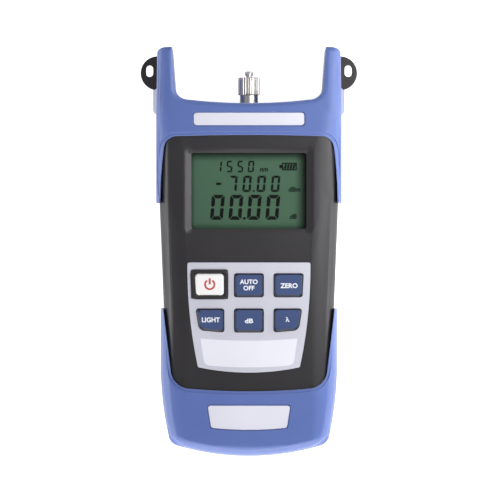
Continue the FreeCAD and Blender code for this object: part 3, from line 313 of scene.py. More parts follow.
# Turned can of a nickel-iron alloy with a gold flash, as detectors have: warm yellow with faint tool rings
def goldFlash():
    finish, tree, shader, place = startFinish("goldFlash", Metallic=1.0, Roughness=0.25)
    rings = turnedRings(tree, shader, place, 0.25 * mm, 0.002 * mm)
    tint(tree, shader, rings.outputs["Fac"], "#c9a765", "#d8b878")
    return finish


# Zirconia, ground: ivory white with a waxy gloss
def groundZirconia():
    finish, tree, shader, place = startFinish("groundZirconia", IOR=2.1)
    moulded(tree, shader, place, 0.15 * mm, 0.002 * mm, "#ece6d8", "#f5f0e6", (0.18, 0.26))
    return finish


# Silicone mat, compression moulded: milky grey with a dull gloss
def milkySilicone():
    finish, tree, shader, place = startFinish("milkySilicone", IOR=1.41, Subsurface_Weight=0.15,
                                              Subsurface_Scale=1.0 * mm)
    moulded(tree, shader, place, 0.5 * mm, 0.01 * mm, "#8d9096", "#9a9da3", (0.5, 0.6))
    return finish


# Glass-epoxy board under green solder mask, with copper tracks 0.5 mm wide showing as lighter lines
def solderMask():
    finish, tree, shader, place = startFinish("solderMask", IOR=1.55, Roughness=0.3)
    blocks = addNode(tree, "ShaderNodeTexBrick", {
        "Vector": place, "Scale": 1 / (9 * mm), "Brick Width": 0.5, "Row Height": 0.2, "Mortar Size": 0.035,
        "Color1": paint("#175234"), "Color2": paint("#1a5a3a"), "Mortar": paint("#2e7d4f")})
    tree.links.new(blocks.outputs["Color"], shader.inputs["Base Color"])
    bump = addNode(tree, "ShaderNodeBump", {"Height": blocks.outputs["Fac"], "Distance": 0.03 * mm})
    tree.links.new(bump.outputs["Normal"], shader.inputs["Normal"])
    return finish


# Moulding compound of the chips: black, sandy, matt
def chipEpoxy():
    finish, tree, shader, place = startFinish("chipEpoxy", IOR=1.5)
    moulded(tree, shader, place, 0.12 * mm, 0.004 * mm, "#161618", "#1e1e21", (0.55, 0.68))
    return finish


# White ABS of the display's holder, moulded in a plain tool
def whiteAbs():
    finish, tree, shader, place = startFinish("whiteAbs", IOR=1.54)
    moulded(tree, shader, place, 0.4 * mm, 0.005 * mm, "#dcdcda", "#e6e6e4", (0.35, 0.45))
    return finish


# Shrink sleeve of a plain cell, PVC: dark blue grey, glossy, faintly rippled
def cellSleeve():
    finish, tree, shader, place = startFinish("cellSleeve", IOR=1.5)
    moulded(tree, shader, place, 0.6 * mm, 0.004 * mm, "#26282f", "#2e3038", (0.28, 0.36))
    return finish


# Nickel-plated spring steel, rolled and stamped: straight fine lines along the strip
def springSteel():
    finish, tree, shader, place = startFinish("springSteel", Metallic=1.0)
    stretched = addNode(tree, "ShaderNodeMapping", {"Vector": place, "Scale": (1.0, 0.05, 1.0)})
    lines = addNode(tree, "ShaderNodeTexNoise", {"Vector": stretched.outputs["Vector"],
                                                 "Scale": 1 / (0.15 * mm)})
    tint(tree, shader, lines.outputs["Fac"], "#b4b2ae", "#cbc9c5")
    rough = addNode(tree, "ShaderNodeMapRange", {"Value": lines.outputs["Fac"], "To Min": 0.2,
                                                 "To Max": 0.35})
    tree.links.new(rough.outputs["Result"], shader.inputs["Roughness"])
    return finish


# Black zinc on steel screws: dark grey metal with the dull bloom of the plating
def blackZinc():
    finish, tree, shader, place = startFinish("blackZinc", Metallic=1.0)
    moulded(tree, shader, place, 0.3 * mm, 0.004 * mm, "#3a3a3e", "#4a4a4e", (0.32, 0.45))
    return finish


finishes = {
    "shell_plastic": grainedAbs(),
    "boot_rubber": matRubber(),
    "lug_nylon": glossNylon(),
    "name_plate": labelFilm(),
    "clear_acrylic": clearAcrylic(),
    "panel_glass": displayGlass(),
    "holder_plastic": whiteAbs(),
    "overlay_film": silverFilm(),
    "key_blue": sprayedBlue(),
    "key_white": sprayedWhite(),
    "silicone": milkySilicone(),
    "board_laminate": solderMask(),
    "chip_epoxy": chipEpoxy(),
    "nickel": nickelPlate(),
    "detector_metal": goldFlash(),
    "zirconia": groundZirconia(),
    "cell_jacket": cellSleeve(),
    "contact_steel": springSteel(),
    "screw_steel": blackZinc(),
}
inkOfCrystal = darkCrystal()
whiteInk = padInk("whiteInk", "#e8ebf2", "#f6f8fc")
redInk = padInk("redInk", "#b8484a", "#c65656")
paleField = paleInk()
print("materials made")

slotOf = {part["node"]: part["material_slot"] for part in frame["record"]["subparts"]}
bodyOf = {node: body for body, nodes in frame["record"]["behaviour"]["bodies"].items() for node in nodes}
for node, solid in frame["nodes"].items():
    solid.data.materials.clear()
    solid.data.materials.append(finishes[slotOf[node]])
print("CAD nodes finished")


# Visible pieces: the CAD surface merged, with its sharp edges softened as the mould leaves them

# Marks the sharp edges for the bevel, each as wide as the short edges around it leave room for.
def weighEdges(mesh, edge, sharp, share=0.3):
    sides = {}
    for face in mesh.polygons:
        for key in face.edge_keys:
            sides.setdefault(key, []).append(face.normal)
    room = [edge / share] * len(mesh.vertices)
    for line in mesh.edges:
        first, second = line.vertices
        length = (mesh.vertices[first].co - mesh.vertices[second].co).length
        room[first], room[second] = min(room[first], length), min(room[second], length)
    weights = mesh.attributes.new("bevel_weight_edge", "FLOAT", "EDGE")
    for line in mesh.edges:
        facing = sides.get(line.key, [])
        if len(facing) == 2 and facing[0].angle(facing[1], 0.0) > math.radians(sharp):
            weights.data[line.index].value = min(1.0, share * min(room[end] for end in line.vertices) / edge)


# The moulded sides roll down towards the outline. Lengths are in mm.
rolledSides = {
    # place along the meter, half width of the meter there, width of the roll
    "outline": ((96.0, 43.0, 6.0), (66.0, 43.0, 7.0), (50.0, 43.0, 12.0), (22.0, 43.0, 13.0),
                (-10.0, 41.0, 13.0), (-56.0, 41.0, 13.0), (-68.0, 40.2, 12.0), (-80.0, 38.7, 11.0),
                (-86.0, 37.5, 10.0), (-96.0, 36.4, 9.0)),
    # distance from the middle, where the foot ends there
    "foot": ((0.0, -95.0), (9.0, -94.7), (18.0, -93.7), (27.0, -92.0), (36.0, -89.2), (45.0, -86.0)),
    "footWide": 6.0,
    "drop": 8.5,        # how far the surface has sunk where it meets the side
    "dropWide": 13.0,   # width of the roll for which that holds; narrower ones sink less
    "nearest": 0.97,    # share of the roll past which it gets no steeper
    "from": 25.0,       # height at which the sinking starts
    "full": 48.0,       # height at which it is whole
    "cuts": (29.0, 30.5, 32.0, 33.5, 35.0, 36.2, 37.3, 38.2, 39.0, 39.7, 40.4, 41.0, 41.6, 42.2, 42.8),
    "footCuts": (-89.4, -90.4, -91.3, -92.1, -92.8, -93.4, -94.0, -94.5),
}


# Value read off a table of rows, each a place and what holds there.
def readOff(table, place, column=1):
    rows = sorted(table)
    place = min(max(place, rows[0][0]), rows[-1][0])
    for lower, upper in zip(rows, rows[1:]):
        if place <= upper[0]:
            share = (place - lower[0]) / (upper[0] - lower[0])
            return lower[column] + (upper[column] - lower[column]) * share
    return rows[-1][column]


# Rolls a skin's front down towards the outline, after cutting it into narrow strips there.
def rollSides(piece):
    sides = rolledSides
    planes = [(sign * x, 0.0) for x in sides["cuts"] for sign in (-1, 1)]
    planes += [(0.0, y) for y in sides["footCuts"]]
    for x, y in planes:
        grasp(piece, lambda vertex: vertex.co.z > sides["from"] * mm)
        bpy.ops.mesh.bisect(plane_co=(x * mm, y * mm, 0), plane_no=(1, 0, 0) if x else (0, 1, 0))
    bpy.ops.object.mode_set(mode="OBJECT")
    for vertex in piece.data.vertices:
        x, y, z = vertex.co / mm
        if z <= sides["from"]:
            continue
        wide = readOff(sides["outline"], y, 2)
        inSide = max(0.0, (abs(x) - readOff(sides["outline"], y) + wide) / wide)
        inFoot = max(0.0, (readOff(sides["foot"], abs(x)) + sides["footWide"] - y) / sides["footWide"])
        near = min(sides["nearest"], math.hypot(inSide, inFoot))
        height = min(1.0, (z - sides["from"]) / (sides["full"] - sides["from"]))
        sunk = sides["drop"] * wide / sides["dropWide"] * (1 - math.sqrt(1 - near ** 2))
        vertex.co.z = (z - sunk * height ** 2 * (3 - 2 * height)) * mm


# Keys: full round corners, and a smaller pressed top that sits high and to the right on its cap.
keyCap = {
    "upperRow": -20.0,                  # keys whose middle is above this are in the upper row
    "corner": 1.0, "rounder": 0.75,     # corner radius of the cap, and how much is added to it
    "edge": 0.35, "slope": 0.35,        # chamfer of the cap, and how far its lower end sinks
    # how much smaller the top is than the cap, for the blue keys and for the white power key
    # the wider sides that this leaves below and to the left take the painted navy shade of sprayedBlue
    "inside": {"right": 0.3, "left": 0.6, "up": 0.25, "down": 0.75},
    "insideWhite": {"right": 0.45, "left": 0.45, "up": 0.45, "down": 0.45},
    "leeway": 0.15,                     # how far a corner's points may lie from its arc
    # sharp corners of the caps in the right half, with the lean of the side and the rise of the foot per mm;
    # the lower keys' cut corner stays as it is
    "corners": {
        "middle": ((6.7, -10.3, 0, 0), (6.7, -21.0, 0, 0), (6.7, -26.6, 0, 0), (6.7, -37.3, 0, 0)),
        "upper": ((11.6, -10.3, 0, 0), (11.6, -21.0, 0, 0), (25.2, -10.3, 0.056, 0), (24.6, -21.0, 0.056, 0)),
        "lower": ((11.6, -26.6, 0, 0), (11.6, -37.3, 0, 0.088), (24.5, -26.6, 0.15, 0)),
    },
}


def shapeKey(piece, node):
    cap = keyCap
    low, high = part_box(node)
    middle, half = (low + high) / 2, (high - low) / 2
    inside = cap["insideWhite"] if node == "power_key" else cap["inside"]
    group = "middle" if abs(middle.x) < mm else "upper" if middle.y > cap["upperRow"] * mm else "lower"
    corners = [(sign * x, y, sign * lean, rise)
               for x, y, lean, rise in cap["corners"][group] for sign in (-1, 1)]
    centreIn = cap["corner"] + cap["rounder"]   # how far the new arc's centre lies inside a sharp corner
    for vertex in piece.data.vertices:
        below = (high.z - vertex.co.z) / mm
        if below > cap["edge"] + 0.1:   # on the sides, under the chamfer
            continue
        x, y = vertex.co.x / mm, vertex.co.y / mm
        radius = cap["corner"] - cap["edge"] + below
        for cornerX, cornerY, lean, rise in corners:
            alongX = math.copysign(1.0, cornerX - middle.x / mm)
            alongY = math.copysign(1.0, cornerY - middle.y / mm)
            offX = x + lean * (cornerY - y) - cornerX + alongX * cap["corner"]
            offY = y - rise * abs(x - cornerX) - cornerY + alongY * cap["corner"]
            away = math.hypot(offX, offY)
            outward = min(offX * alongX, offY * alongY)
            if outward > -0.8 * cap["leeway"] and radius / 2 < away < radius + cap["leeway"]:
                wider = (radius + cap["rounder"]) / away
                x = cornerX - alongX * centreIn + offX * wider
                y = cornerY - alongY * centreIn + offY * wider
                x, y = x - lean * (cornerY - y), y + rise * abs(x - cornerX)
                break
        if below < 0.05:    # on the top itself
            shareX, shareY = (x * mm - middle.x) / half.x, (y * mm - middle.y) / half.y
            x -= shareX * inside["right" if shareX > 0 else "left"]
            y -= shareY * inside["up" if shareY > 0 else "down"]
        else:
            vertex.co.z -= cap["slope"] * mm
        vertex.co.x, vertex.co.y = x * mm, y * mm


# Frame of the power key: nearly square at its corners, with a lower half that is shorter, as its key's is.
powerFrame = {
    "middle": (-18.35, -15.6), "half": (8.55, 7.2), "margin": 0.3, "above": 46.0,
    "round": 3.0,       # size of the corners that are squared
    "square": 0.7,      # how square they get, up to 1
    "foot": 0.877,      # height of the lower half against what it was
}


def squareFrame(piece, square):
    shape = powerFrame
    midX, midY = shape["middle"]
    reachX, reachY = (half + shape["margin"] for half in shape["half"])
    for vertex in piece.data.vertices:
        x, y, z = vertex.co / mm
        offX, offY = x - midX, y - midY
        if z < shape["above"] or abs(offX) > reachX or abs(offY) > reachY:
            continue
        outX = abs(offX) - shape["half"][0] + shape["round"]
        outY = abs(offY) - shape["half"][1] + shape["round"]
        if outX > 0 and outY > 0:
            stretch = 1 + (math.hypot(outX, outY) / max(outX, outY) - 1) * square
            offX += math.copysign(outX * (stretch - 1), offX)
            offY += math.copysign(outY * (stretch - 1), offY)
        if offY < 0:
            offY *= shape["foot"]
        vertex.co.x, vertex.co.y = (midX + offX) * mm, (midY + offY) * mm


# Horns of the upper boot: their ends are nearly as wide as the horns themselves, with a tight inner corner.
hornEnd = {
    "from": 89.0, "to": 95.0, "middle": 39.3,
    "outer": (3.3, 0.45), "inner": (3.55, 0.8),     # half width that it grows to, and how fast
}


def squareHorns(piece):
    horn = hornEnd
    for vertex in piece.data.vertices:
        x, y, z = vertex.co / mm
        if y > horn["from"]:
            share = (y - horn["from"]) / (horn["to"] - horn["from"])
            off = abs(x) - horn["middle"]
            half, widen = horn["outer" if off > 0 else "inner"]
            wider = max(-half, min(half, off * (1 + widen * share ** 2)))
            if abs(wider) > abs(off):
                vertex.co.x = math.copysign(horn["middle"] + wider, x) * mm


# Guards under the lugs: their front falls away steeply, so that it takes light from the side.
guardSlope = {"from": 43.0, "heights": (31.0, 33.0), "along": (62.0, 78.0), "fall": 3.4}


def slopeGuards(piece):
    guard = guardSlope
    (lowest, highest), (foot, top) = guard["heights"], guard["along"]
    for vertex in piece.data.vertices:
        x, y, z = vertex.co / mm
        if abs(x) > guard["from"] and lowest < z < highest and foot < y < top:
            vertex.co.z -= (abs(x) - guard["from"]) * guard["fall"] * mm


# Name plates: a fine gap in mm all round them in their recess.
plateGap = 0.25


def shrinkPlate(piece, node):
    low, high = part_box(node)
    middle, half = (low + high) / 2, (high - low) / 2
    for vertex in piece.data.vertices:
        vertex.co.x -= (vertex.co.x - middle.x) / half.x * plateGap * mm
        vertex.co.y -= (vertex.co.y - middle.y) / half.y * plateGap * mm


# Lays the film's flat faces anew between its outline and its openings.
def layFlat(piece, node):
    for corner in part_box(node):
        grasp(piece, lambda face: abs(face.center.z - corner.z) < 0.02 * mm and abs(face.normal.z) > 0.99,
              faces=True)
        bpy.ops.mesh.delete(type="FACE")
        bpy.ops.mesh.select_mode(type="EDGE")
        bpy.ops.mesh.select_all(action="DESELECT")
        bpy.ops.mesh.select_non_manifold()
        bpy.ops.mesh.fill(use_beauty=True)
    bpy.ops.mesh.select_all(action="SELECT")
    bpy.ops.mesh.normals_make_consistent(inside=False)
    bpy.ops.object.mode_set(mode="OBJECT")


# Gives a skin the forms that it has beyond its solid's, before its edges are rounded.
def reshape(piece, node):
    if node.endswith("_key"):
        shapeKey(piece, node)
    if node in ("front_shell", "keypad_overlay"):
        squareFrame(piece, powerFrame["square"])
    if node == "power_key":
        squareFrame(piece, 0.0)
    if node == "keypad_overlay":
        layFlat(piece, node)
    if node == "upper_boot":
        squareHorns(piece)
        slopeGuards(piece)
    if node.endswith("_plate"):
        shrinkPlate(piece, node)


weldWithin = 0.06       # points of the triangles nearer than this in mm are merged


# Copies a node's surface, merges its triangles, rounds its sharp edges and lets the copy stand for the node.
def softened(node, edge, steps, sharp=32.0):
    piece = bpy.data.objects.new(node + "_skin", frame["nodes"][node].data.copy())
    bpy.context.collection.objects.link(piece)
    pick(piece)
    bpy.ops.object.mode_set(mode="EDIT")
    bpy.ops.mesh.select_all(action="SELECT")
    bpy.ops.mesh.remove_doubles(threshold=weldWithin * mm)
    bpy.ops.object.mode_set(mode="OBJECT")
    reshape(piece, node)
    if edge:
        weighEdges(piece.data, edge * mm, sharp)
        finishWith("BEVEL", width=edge * mm, segments=steps, limit_method="WEIGHT",
                   use_clamp_overlap=False, loop_slide=False, miter_outer="MITER_SHARP",
                   harden_normals=False)
    if node in ("front_shell", "upper_boot", "lower_boot"):
        rollSides(piece)
    bpy.ops.object.shade_smooth_by_angle(angle=math.radians(sharp))
    finishWith("WEIGHTED_NORMAL", keep_sharp=True)
    settle(piece, bodyOf[node], finishes[slotOf[node]])
    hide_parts(node)
    return piece


# Width of the rounded edges in mm, and steps across them
mouldedEdges = {
    "front_shell": (0.25, 2), "rear_shell": (0.2, 2), "battery_door": (0.25, 2),
    "upper_boot": (0.35, 3), "lower_boot": (0.35, 3),
    "upper_plate": (0.1, 2), "lower_plate": (0.1, 2),
    "keypad_overlay": (0.0, 0), "display_window": (0.15, 2),
    "power_key": (0.2, 2), "auto_off_key": (0.2, 2), "zero_key": (0.2, 2), "light_key": (0.2, 2),
    "decibel_key": (0.2, 2), "wavelength_key": (0.2, 2),
    "port_base": (0.08, 1), "fibre_adapter": (0.08, 2), "coupling_ring": (0.06, 1), "dust_cap": (0.05, 1),
    "battery_1": (0.2, 2), "battery_2": (0.2, 2), "battery_3": (0.2, 2),
}
for node, (edge, steps) in mouldedEdges.items():
    softened(node, edge, steps)
print("moulded pieces dressed:", len(mouldedEdges))


# Strap lugs: half a disc with an eye through it, moulded in one with a root inside the boot

strapLug = {
    "middle": (42.6, 83.1), "radius": 7.9, "low": 19.5, "high": 28.5, "root": 40.0,
    "eye": (46.3, 84.1), "eyeRadius": 1.65, "eyeStretch": 1.05, "edge": 1.0,
}


def makeLug(side, node):
    lug = strapLug
    height = (lug["low"] + lug["high"]) / 2
    deep = lug["high"] - lug["low"]
    bpy.ops.mesh.primitive_cylinder_add(vertices=32, radius=lug["eyeRadius"], depth=deep * 2,
                                        location=(side * lug["eye"][0], lug["eye"][1], height))
    eye = bpy.context.object
    bpy.ops.object.transform_apply(location=True, rotation=False, scale=False)
    for sign in (-1, 1):
        grasp(eye, lambda vertex: (vertex.co.y - lug["eye"][1]) * sign > 0.01)
        bpy.ops.transform.translate(value=(0, sign * lug["eyeStretch"], 0))
    bpy.ops.object.mode_set(mode="OBJECT")
    bpy.ops.mesh.primitive_cylinder_add(vertices=64, radius=lug["radius"], depth=deep,
                                        location=(side * lug["middle"][0], lug["middle"][1], height))
    piece = bpy.context.object
    bpy.ops.object.transform_apply(location=True, rotation=False, scale=False)
    grasp(piece, lambda vertex: True)
    bpy.ops.mesh.bisect(plane_co=(side * lug["root"], 0, 0), plane_no=(side, 0, 0), use_fill=True,
                        clear_inner=True)
    bpy.ops.object.mode_set(mode="OBJECT")
    finishWith("BOOLEAN", operation="DIFFERENCE", object=eye, solver="EXACT")
    bpy.data.objects.remove(eye)
    finishWith("BEVEL", width=lug["edge"], segments=4, limit_method="ANGLE", angle_limit=math.radians(40))
    bpy.ops.object.shade_smooth_by_angle(angle=math.radians(35))
    finishWith("WEIGHTED_NORMAL", keep_sharp=True)
    piece.data.transform(Matrix.Scale(mm, 4))
    piece.name = node + "_skin"
    settle(piece, bodyOf[node], finishes[slotOf[node]])
    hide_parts(node)


makeLug(-1, "strap_lug_left")
makeLug(1, "strap_lug_right")
print("strap lugs made")


# Display: switched-on bars, signs and units on the panel's glass

readout = {
    "rows": (
        {"signs": "1550", "right": 2.6, "foot": 36.7, "tall": 5.4, "pitch": 5.0, "decimals": None},
        {"signs": "-7000", "right": 14.6, "foot": 27.6, "tall": 7.6, "pitch": 6.6, "decimals": 2},
        {"signs": "0000", "right": 14.5, "foot": 14.7, "tall": 11.6, "pitch": 8.56, "decimals": 2},
    ),
    # words, left end, foot and height
    "units": (("nm", 5.0, 37.2, 2.21), ("dBm", 18.2, 27.8, 2.21), ("dB", 18.8, 15.2, 2.21)),
    "unitWeight": 0.035, "unitLean": 0.15,
    "thick": 0.02,      # height of the bars on the glass, in mm
    "slant": 5.0,       # lean of the digits in degrees
    # shape of a digit whose height is 1
    "wide": 0.52,
    "bar": 0.145,       # width of its bars
    "gap": 0.02,        # space between two bars
    "middle": 1.6,      # how much shorter the middle bar is than the digit is wide, in widths of a bar
    "cut": 0.22,        # how far its corners are cut, in widths of a bar
    "mitre": (0.3, 0.5),    # how far the end of a mitred bar moves out, and its inner side draws back
    "dash": 1.25,       # length of the minus sign against a middle bar
    "space": 0.08,      # room right of a digit
    "point": (0.95, 0.8), "pointUp": 0.4,   # size and height of the decimal point, in widths of a bar
    "pointRight": 0.01,
}
barsOf = {"0": "abcdef", "1": "bc", "5": "acdfg", "7": "abc", "-": "g"}
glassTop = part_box("lcd_panel")[1].z


# One upright bar about the origin: a hexagon drawn out in length, its ends mitred or pointed.
def displayBar(length, mitredTop, mitredFoot):
    wide = readout["bar"]
    radius = wide / math.sqrt(3)
    out, back = (share * wide for share in readout["mitre"])
    bpy.ops.mesh.primitive_circle_add(vertices=6, radius=radius, fill_type="NGON")
    bar = bpy.context.object
    for sign, mitred in ((1, mitredTop), (-1, mitredFoot)):
        grasp(bar, lambda vertex: vertex.co.y * sign > radius * 0.1)
        bpy.ops.transform.translate(value=(0, sign * (length / 2 - radius), 0))
        if mitred:
            tip = length / 2
            grasp(bar, lambda vertex: vertex.co.y * sign > tip - radius * 0.1)
            bpy.ops.transform.translate(value=(out, 0, 0))
            grasp(bar, lambda vertex: vertex.co.x < -wide * 0.4 and vertex.co.y * sign > 0)
            bpy.ops.transform.translate(value=(0, -sign * back, 0))
    bpy.ops.mesh.select_all(action="SELECT")
    bpy.ops.mesh.extrude_region_move(TRANSFORM_OT_translate={"value": (0, 0, 1)})
    bpy.ops.mesh.select_all(action="SELECT")
    bpy.ops.mesh.normals_make_consistent(inside=False)
    bpy.ops.object.mode_set(mode="OBJECT")
    return bar


# One decimal point about the origin, a small square with its corners cut.
def displayPoint():
    bpy.ops.mesh.primitive_circle_add(vertices=8, radius=0.5, fill_type="NGON",
                                      rotation=(0, 0, math.radians(22.5)))
    bpy.ops.object.transform_apply(location=False, rotation=True, scale=False)
    point = bpy.context.object
    grasp(point, lambda vertex: True)
    bpy.ops.mesh.extrude_region_move(TRANSFORM_OT_translate={"value": (0, 0, 1)})
    bpy.ops.mesh.select_all(action="SELECT")
    bpy.ops.mesh.normals_make_consistent(inside=False)
    bpy.ops.object.mode_set(mode="OBJECT")
    return point


# All rows of digits: every bar is a copy of one of three, and every point of one.
def displayReadout():
    wide, bar, gap = readout["wide"], readout["bar"], readout["gap"]
    cut = bar * readout["cut"]
    sideLong = 0.5 - gap * 1.5 - cut
    flatLong = wide - 2 * gap - 2 * cut
    side = displayBar(sideLong, True, False)
    flat = displayBar(flatLong, True, True)
    middle = displayBar(wide - readout["middle"] * bar, False, False)
    dot = displayPoint()
    dotSize = Matrix.Diagonal((readout["point"][0] * bar, readout["point"][1] * bar, 1.0, 1.0))
    quarter = Matrix.Rotation(math.radians(90), 4, "Z")
    mirrorX, mirrorY = Matrix.Scale(-1, 4, Vector((1, 0, 0))), Matrix.Scale(-1, 4, Vector((0, 1, 0)))
    right, left = wide - bar / 2, bar / 2
    high, low = 1 - gap / 2 - cut - sideLong / 2, gap / 2 + cut + sideLong / 2
    at = lambda x, y: Matrix.Translation(Vector((x, y, 0)))
    places = {
        "a": (flat, at(wide / 2, 1 - bar / 2) @ quarter),
        "d": (flat, at(wide / 2, bar / 2) @ mirrorY @ quarter),
        "b": (side, at(right, high)), "c": (side, at(right, low) @ mirrorY),
        "f": (side, at(left, high) @ mirrorX), "e": (side, at(left, low) @ mirrorX @ mirrorY),
        "g": (middle, at(wide / 2, 0.5) @ quarter),
    }
    lean = Matrix.Identity(4)
    lean[0][1] = math.tan(math.radians(readout["slant"]))
    pieces = []
    for row in readout["rows"]:
        last = len(row["signs"]) - 1
        size = Matrix.Diagonal((row["tall"] * mm, row["tall"] * mm, readout["thick"] * mm, 1.0))
        for spot, sign in enumerate(row["signs"]):
            startX = row["right"] - row["tall"] * (wide + readout["space"]) - (last - spot) * row["pitch"]
            digit = Matrix.Translation(Vector((startX * mm, row["foot"] * mm, glassTop))) @ size @ lean
            reach = Matrix.Scale(readout["dash"] if sign == "-" else 1.0, 4, Vector((0, 1, 0)))
            for letter in barsOf[sign]:
                source, matrix = places[letter]
                pieces.append(placedCopy(source, digit @ matrix @ reach, "bar"))
            if row["decimals"] is not None and spot == last - row["decimals"]:
                pointX = (row["pitch"] / row["tall"] + wide) / 2 + readout["pointRight"]
                place = at(pointX, bar * readout["pointUp"])
                pieces.append(placedCopy(dot, digit @ place @ dotSize, "point"))
    for source in (side, flat, middle, dot):
        bpy.data.objects.remove(source)
    return pieces


capitalTall = 0.73      # height of a capital in a font of size 1


# A line of text as a thin raised mesh, its middle or left foot at the given place.
def letters(name, words, x, y, z, height, align="CENTER", weight=0.0, lean=0.0, thick=0.03, widen=1.0):
    bpy.ops.object.text_add()
    line = bpy.context.object
    line.name = name
    line.data.body = words
    line.data.align_x = align
    line.data.align_y = "CENTER" if align == "CENTER" else "BOTTOM_BASELINE"
    line.data.size = 1.0
    line.data.shear = lean
    line.data.offset = weight
    line.data.extrude = 0.5
    line.data.resolution_u = 4
    bpy.ops.object.convert(target="MESH")
    line = bpy.context.object
    size = height / capitalTall
    line.data.transform(Matrix.Translation(Vector((x, y, z + thick / 2)) * mm)
                        @ Matrix.Diagonal((size * widen * mm, size * mm, thick * mm, 1.0)))
    return line


bars = displayReadout()
for words, x, foot, height in readout["units"]:
    bars.append(letters("unit", words, x, foot, glassTop / mm, height, "LEFT", readout["unitWeight"],
                        readout["unitLean"], readout["thick"]))

chargeMark = {
    "left": 15.3, "right": 22.2, "foot": 37.6, "top": 41.2, "rim": 0.6,
    "nub": (1.2, 0.45),     # length of the nub in mm, and its height against the frame's
    "bars": 4, "fill": 0.76, "lean": 0.25,  # bars, how much of their pitch they fill, and their lean
    "start": 0.75, "end": 0.55,             # first bar's middle and the room after the last, in pitches
    "clear": 0.12,          # gap above and below the bars
}


# Charge mark: a frame with a nub, drawn as an inset plane, and slanting bars inside it.
def displayCharge():
    mark = chargeMark
    wide, tall = mark["right"] - mark["left"], mark["top"] - mark["foot"]
    bpy.ops.mesh.primitive_plane_add(size=1.0)
    frameMark = bpy.context.object
    frameMark.scale = (wide, tall, 1)
    bpy.ops.object.transform_apply(location=False, rotation=False, scale=True)
    grasp(frameMark, lambda face: True, faces=True)
    bpy.ops.mesh.inset(thickness=mark["rim"])
    bpy.ops.mesh.delete(type="FACE")
    bpy.ops.mesh.select_all(action="SELECT")
    bpy.ops.mesh.extrude_region_move(TRANSFORM_OT_translate={"value": (0, 0, readout["thick"])})
    bpy.ops.object.mode_set(mode="OBJECT")
    shapes = [frameMark]
    bpy.ops.mesh.primitive_plane_add(size=1.0)
    block = bpy.context.object
    grasp(block, lambda face: True, faces=True)
    bpy.ops.mesh.extrude_region_move(TRANSFORM_OT_translate={"value": (0, 0, 1)})
    bpy.ops.mesh.select_all(action="SELECT")
    bpy.ops.mesh.normals_make_consistent(inside=False)
    bpy.ops.object.mode_set(mode="OBJECT")
    nubLong, nubTall = mark["nub"]
    sizes = [(-wide / 2 - nubLong / 2, nubLong, tall * nubTall, 0.0)]
    pitch = (wide - 2 * mark["rim"]) / (mark["bars"] - 1 + mark["start"] + mark["end"])
    barTall = tall - 2 * (mark["rim"] + mark["clear"])
    for spot in range(mark["bars"]):
        x = -wide / 2 + mark["rim"] + (spot + mark["start"]) * pitch
        sizes.append((x, pitch * mark["fill"], barTall, mark["lean"]))
    for x, across, up, slope in sizes:
        lean = Matrix.Identity(4)
        lean[0][1] = slope
        size = Matrix.Diagonal((across, up, readout["thick"], 1.0))
        shapes.append(placedCopy(block, Matrix.Translation(Vector((x, 0, 0))) @ lean @ size, "charge"))
    bpy.data.objects.remove(block)
    middle = Vector(((mark["left"] + mark["right"]) / 2 * mm, (mark["foot"] + mark["top"]) / 2 * mm,
                     glassTop))
    for shape in shapes:
        shape.data.transform(Matrix.Translation(middle) @ Matrix.Scale(mm, 4))
    return shapes


bars += displayCharge()
display = joined(bars, "display_readout")
settle(display, "case", inkOfCrystal)
print("display drawn")


# Keypad: pale printed field on the film, legends on the keys

padField = {
    # half width, place of its ends along the meter, and dip in the middle
    "topHalf": 22.5, "topAt": -40.3, "topDip": 1.0,
    "footHalf": 20.6, "footAt": -52.6, "footDip": 1.1,
    "corner": 2.0, "thick": 0.02,
}


# Pale field: a plane subdivided across, its upper edge dipped, its lower corners rounded.
def paleBand():
    field = padField
    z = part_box("keypad_overlay")[1].z
    bpy.ops.mesh.primitive_grid_add(x_subdivisions=16, y_subdivisions=1, size=2.0)
    band = bpy.context.object
    middle, half = (field["topAt"] + field["footAt"]) / 2, (field["topAt"] - field["footAt"]) / 2
    for vertex in band.data.vertices:
        across, up = vertex.co.x, vertex.co.y
        reach = field["topHalf"] if up > 0 else field["footHalf"]
        dip = (field["topDip"] if up > 0 else field["footDip"]) * (1 - across ** 2)
        vertex.co = (across * reach, middle + up * half - dip, 0)
    grasp(band, lambda vertex: vertex.co.y < middle and abs(vertex.co.x) > field["footHalf"] - 0.1)
    bpy.ops.mesh.bevel(offset=field["corner"], segments=5, affect="VERTICES")
    bpy.ops.mesh.select_all(action="SELECT")
    bpy.ops.mesh.extrude_region_move(TRANSFORM_OT_translate={"value": (0, 0, field["thick"])})
    bpy.ops.mesh.select_all(action="SELECT")
    bpy.ops.mesh.normals_make_consistent(inside=False)
    bpy.ops.object.mode_set(mode="OBJECT")
    band.data.transform(Matrix.Translation(Vector((0, 0, z))) @ Matrix.Scale(mm, 4))
    band.name = "keypad_pale_field"
    return settle(band, "case", paleField)


paleBand()

# Each line: words, place from the key's middle, height in mm, and width against the font's
legends = {
    "auto_off_key": (("AUTO", 0.0, 1.5, 2.1, 1.02), ("OFF", 0.0, -1.4, 2.1, 1.02)),
    "zero_key": (("ZERO", 0.3, -0.3, 2.2, 1.02),),
    "light_key": (("LIGHT", 0.2, 0.1, 2.2, 1.0),),
    "decibel_key": (("dB", 0.0, -0.3, 2.1, 1.25),),
    "wavelength_key": (("λ", 0.0, 0.2, 2.0, 1.0),),
    "power_key": (("⏻", 0.2, 0.0, 4.4, 1.0),),
}
legendInk = {"power_key": (redInk, 0.028)}      # ink and weight of the stroke, where they differ
for node, lines in legends.items():
    ink, weight = legendInk.get(node, (whiteInk, 0.03))
    low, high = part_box(node)
    middle = (low + high) / 2 / mm
    shapes = [letters("legend", words, middle.x + x, middle.y + y, high.z / mm, height, weight=weight,
                      widen=widen) for words, x, y, height, widen in lines]
    piece = joined(shapes, node.replace("_key", "_legend"))
    settle(piece, bodyOf[node], ink)
print("keypad printed")


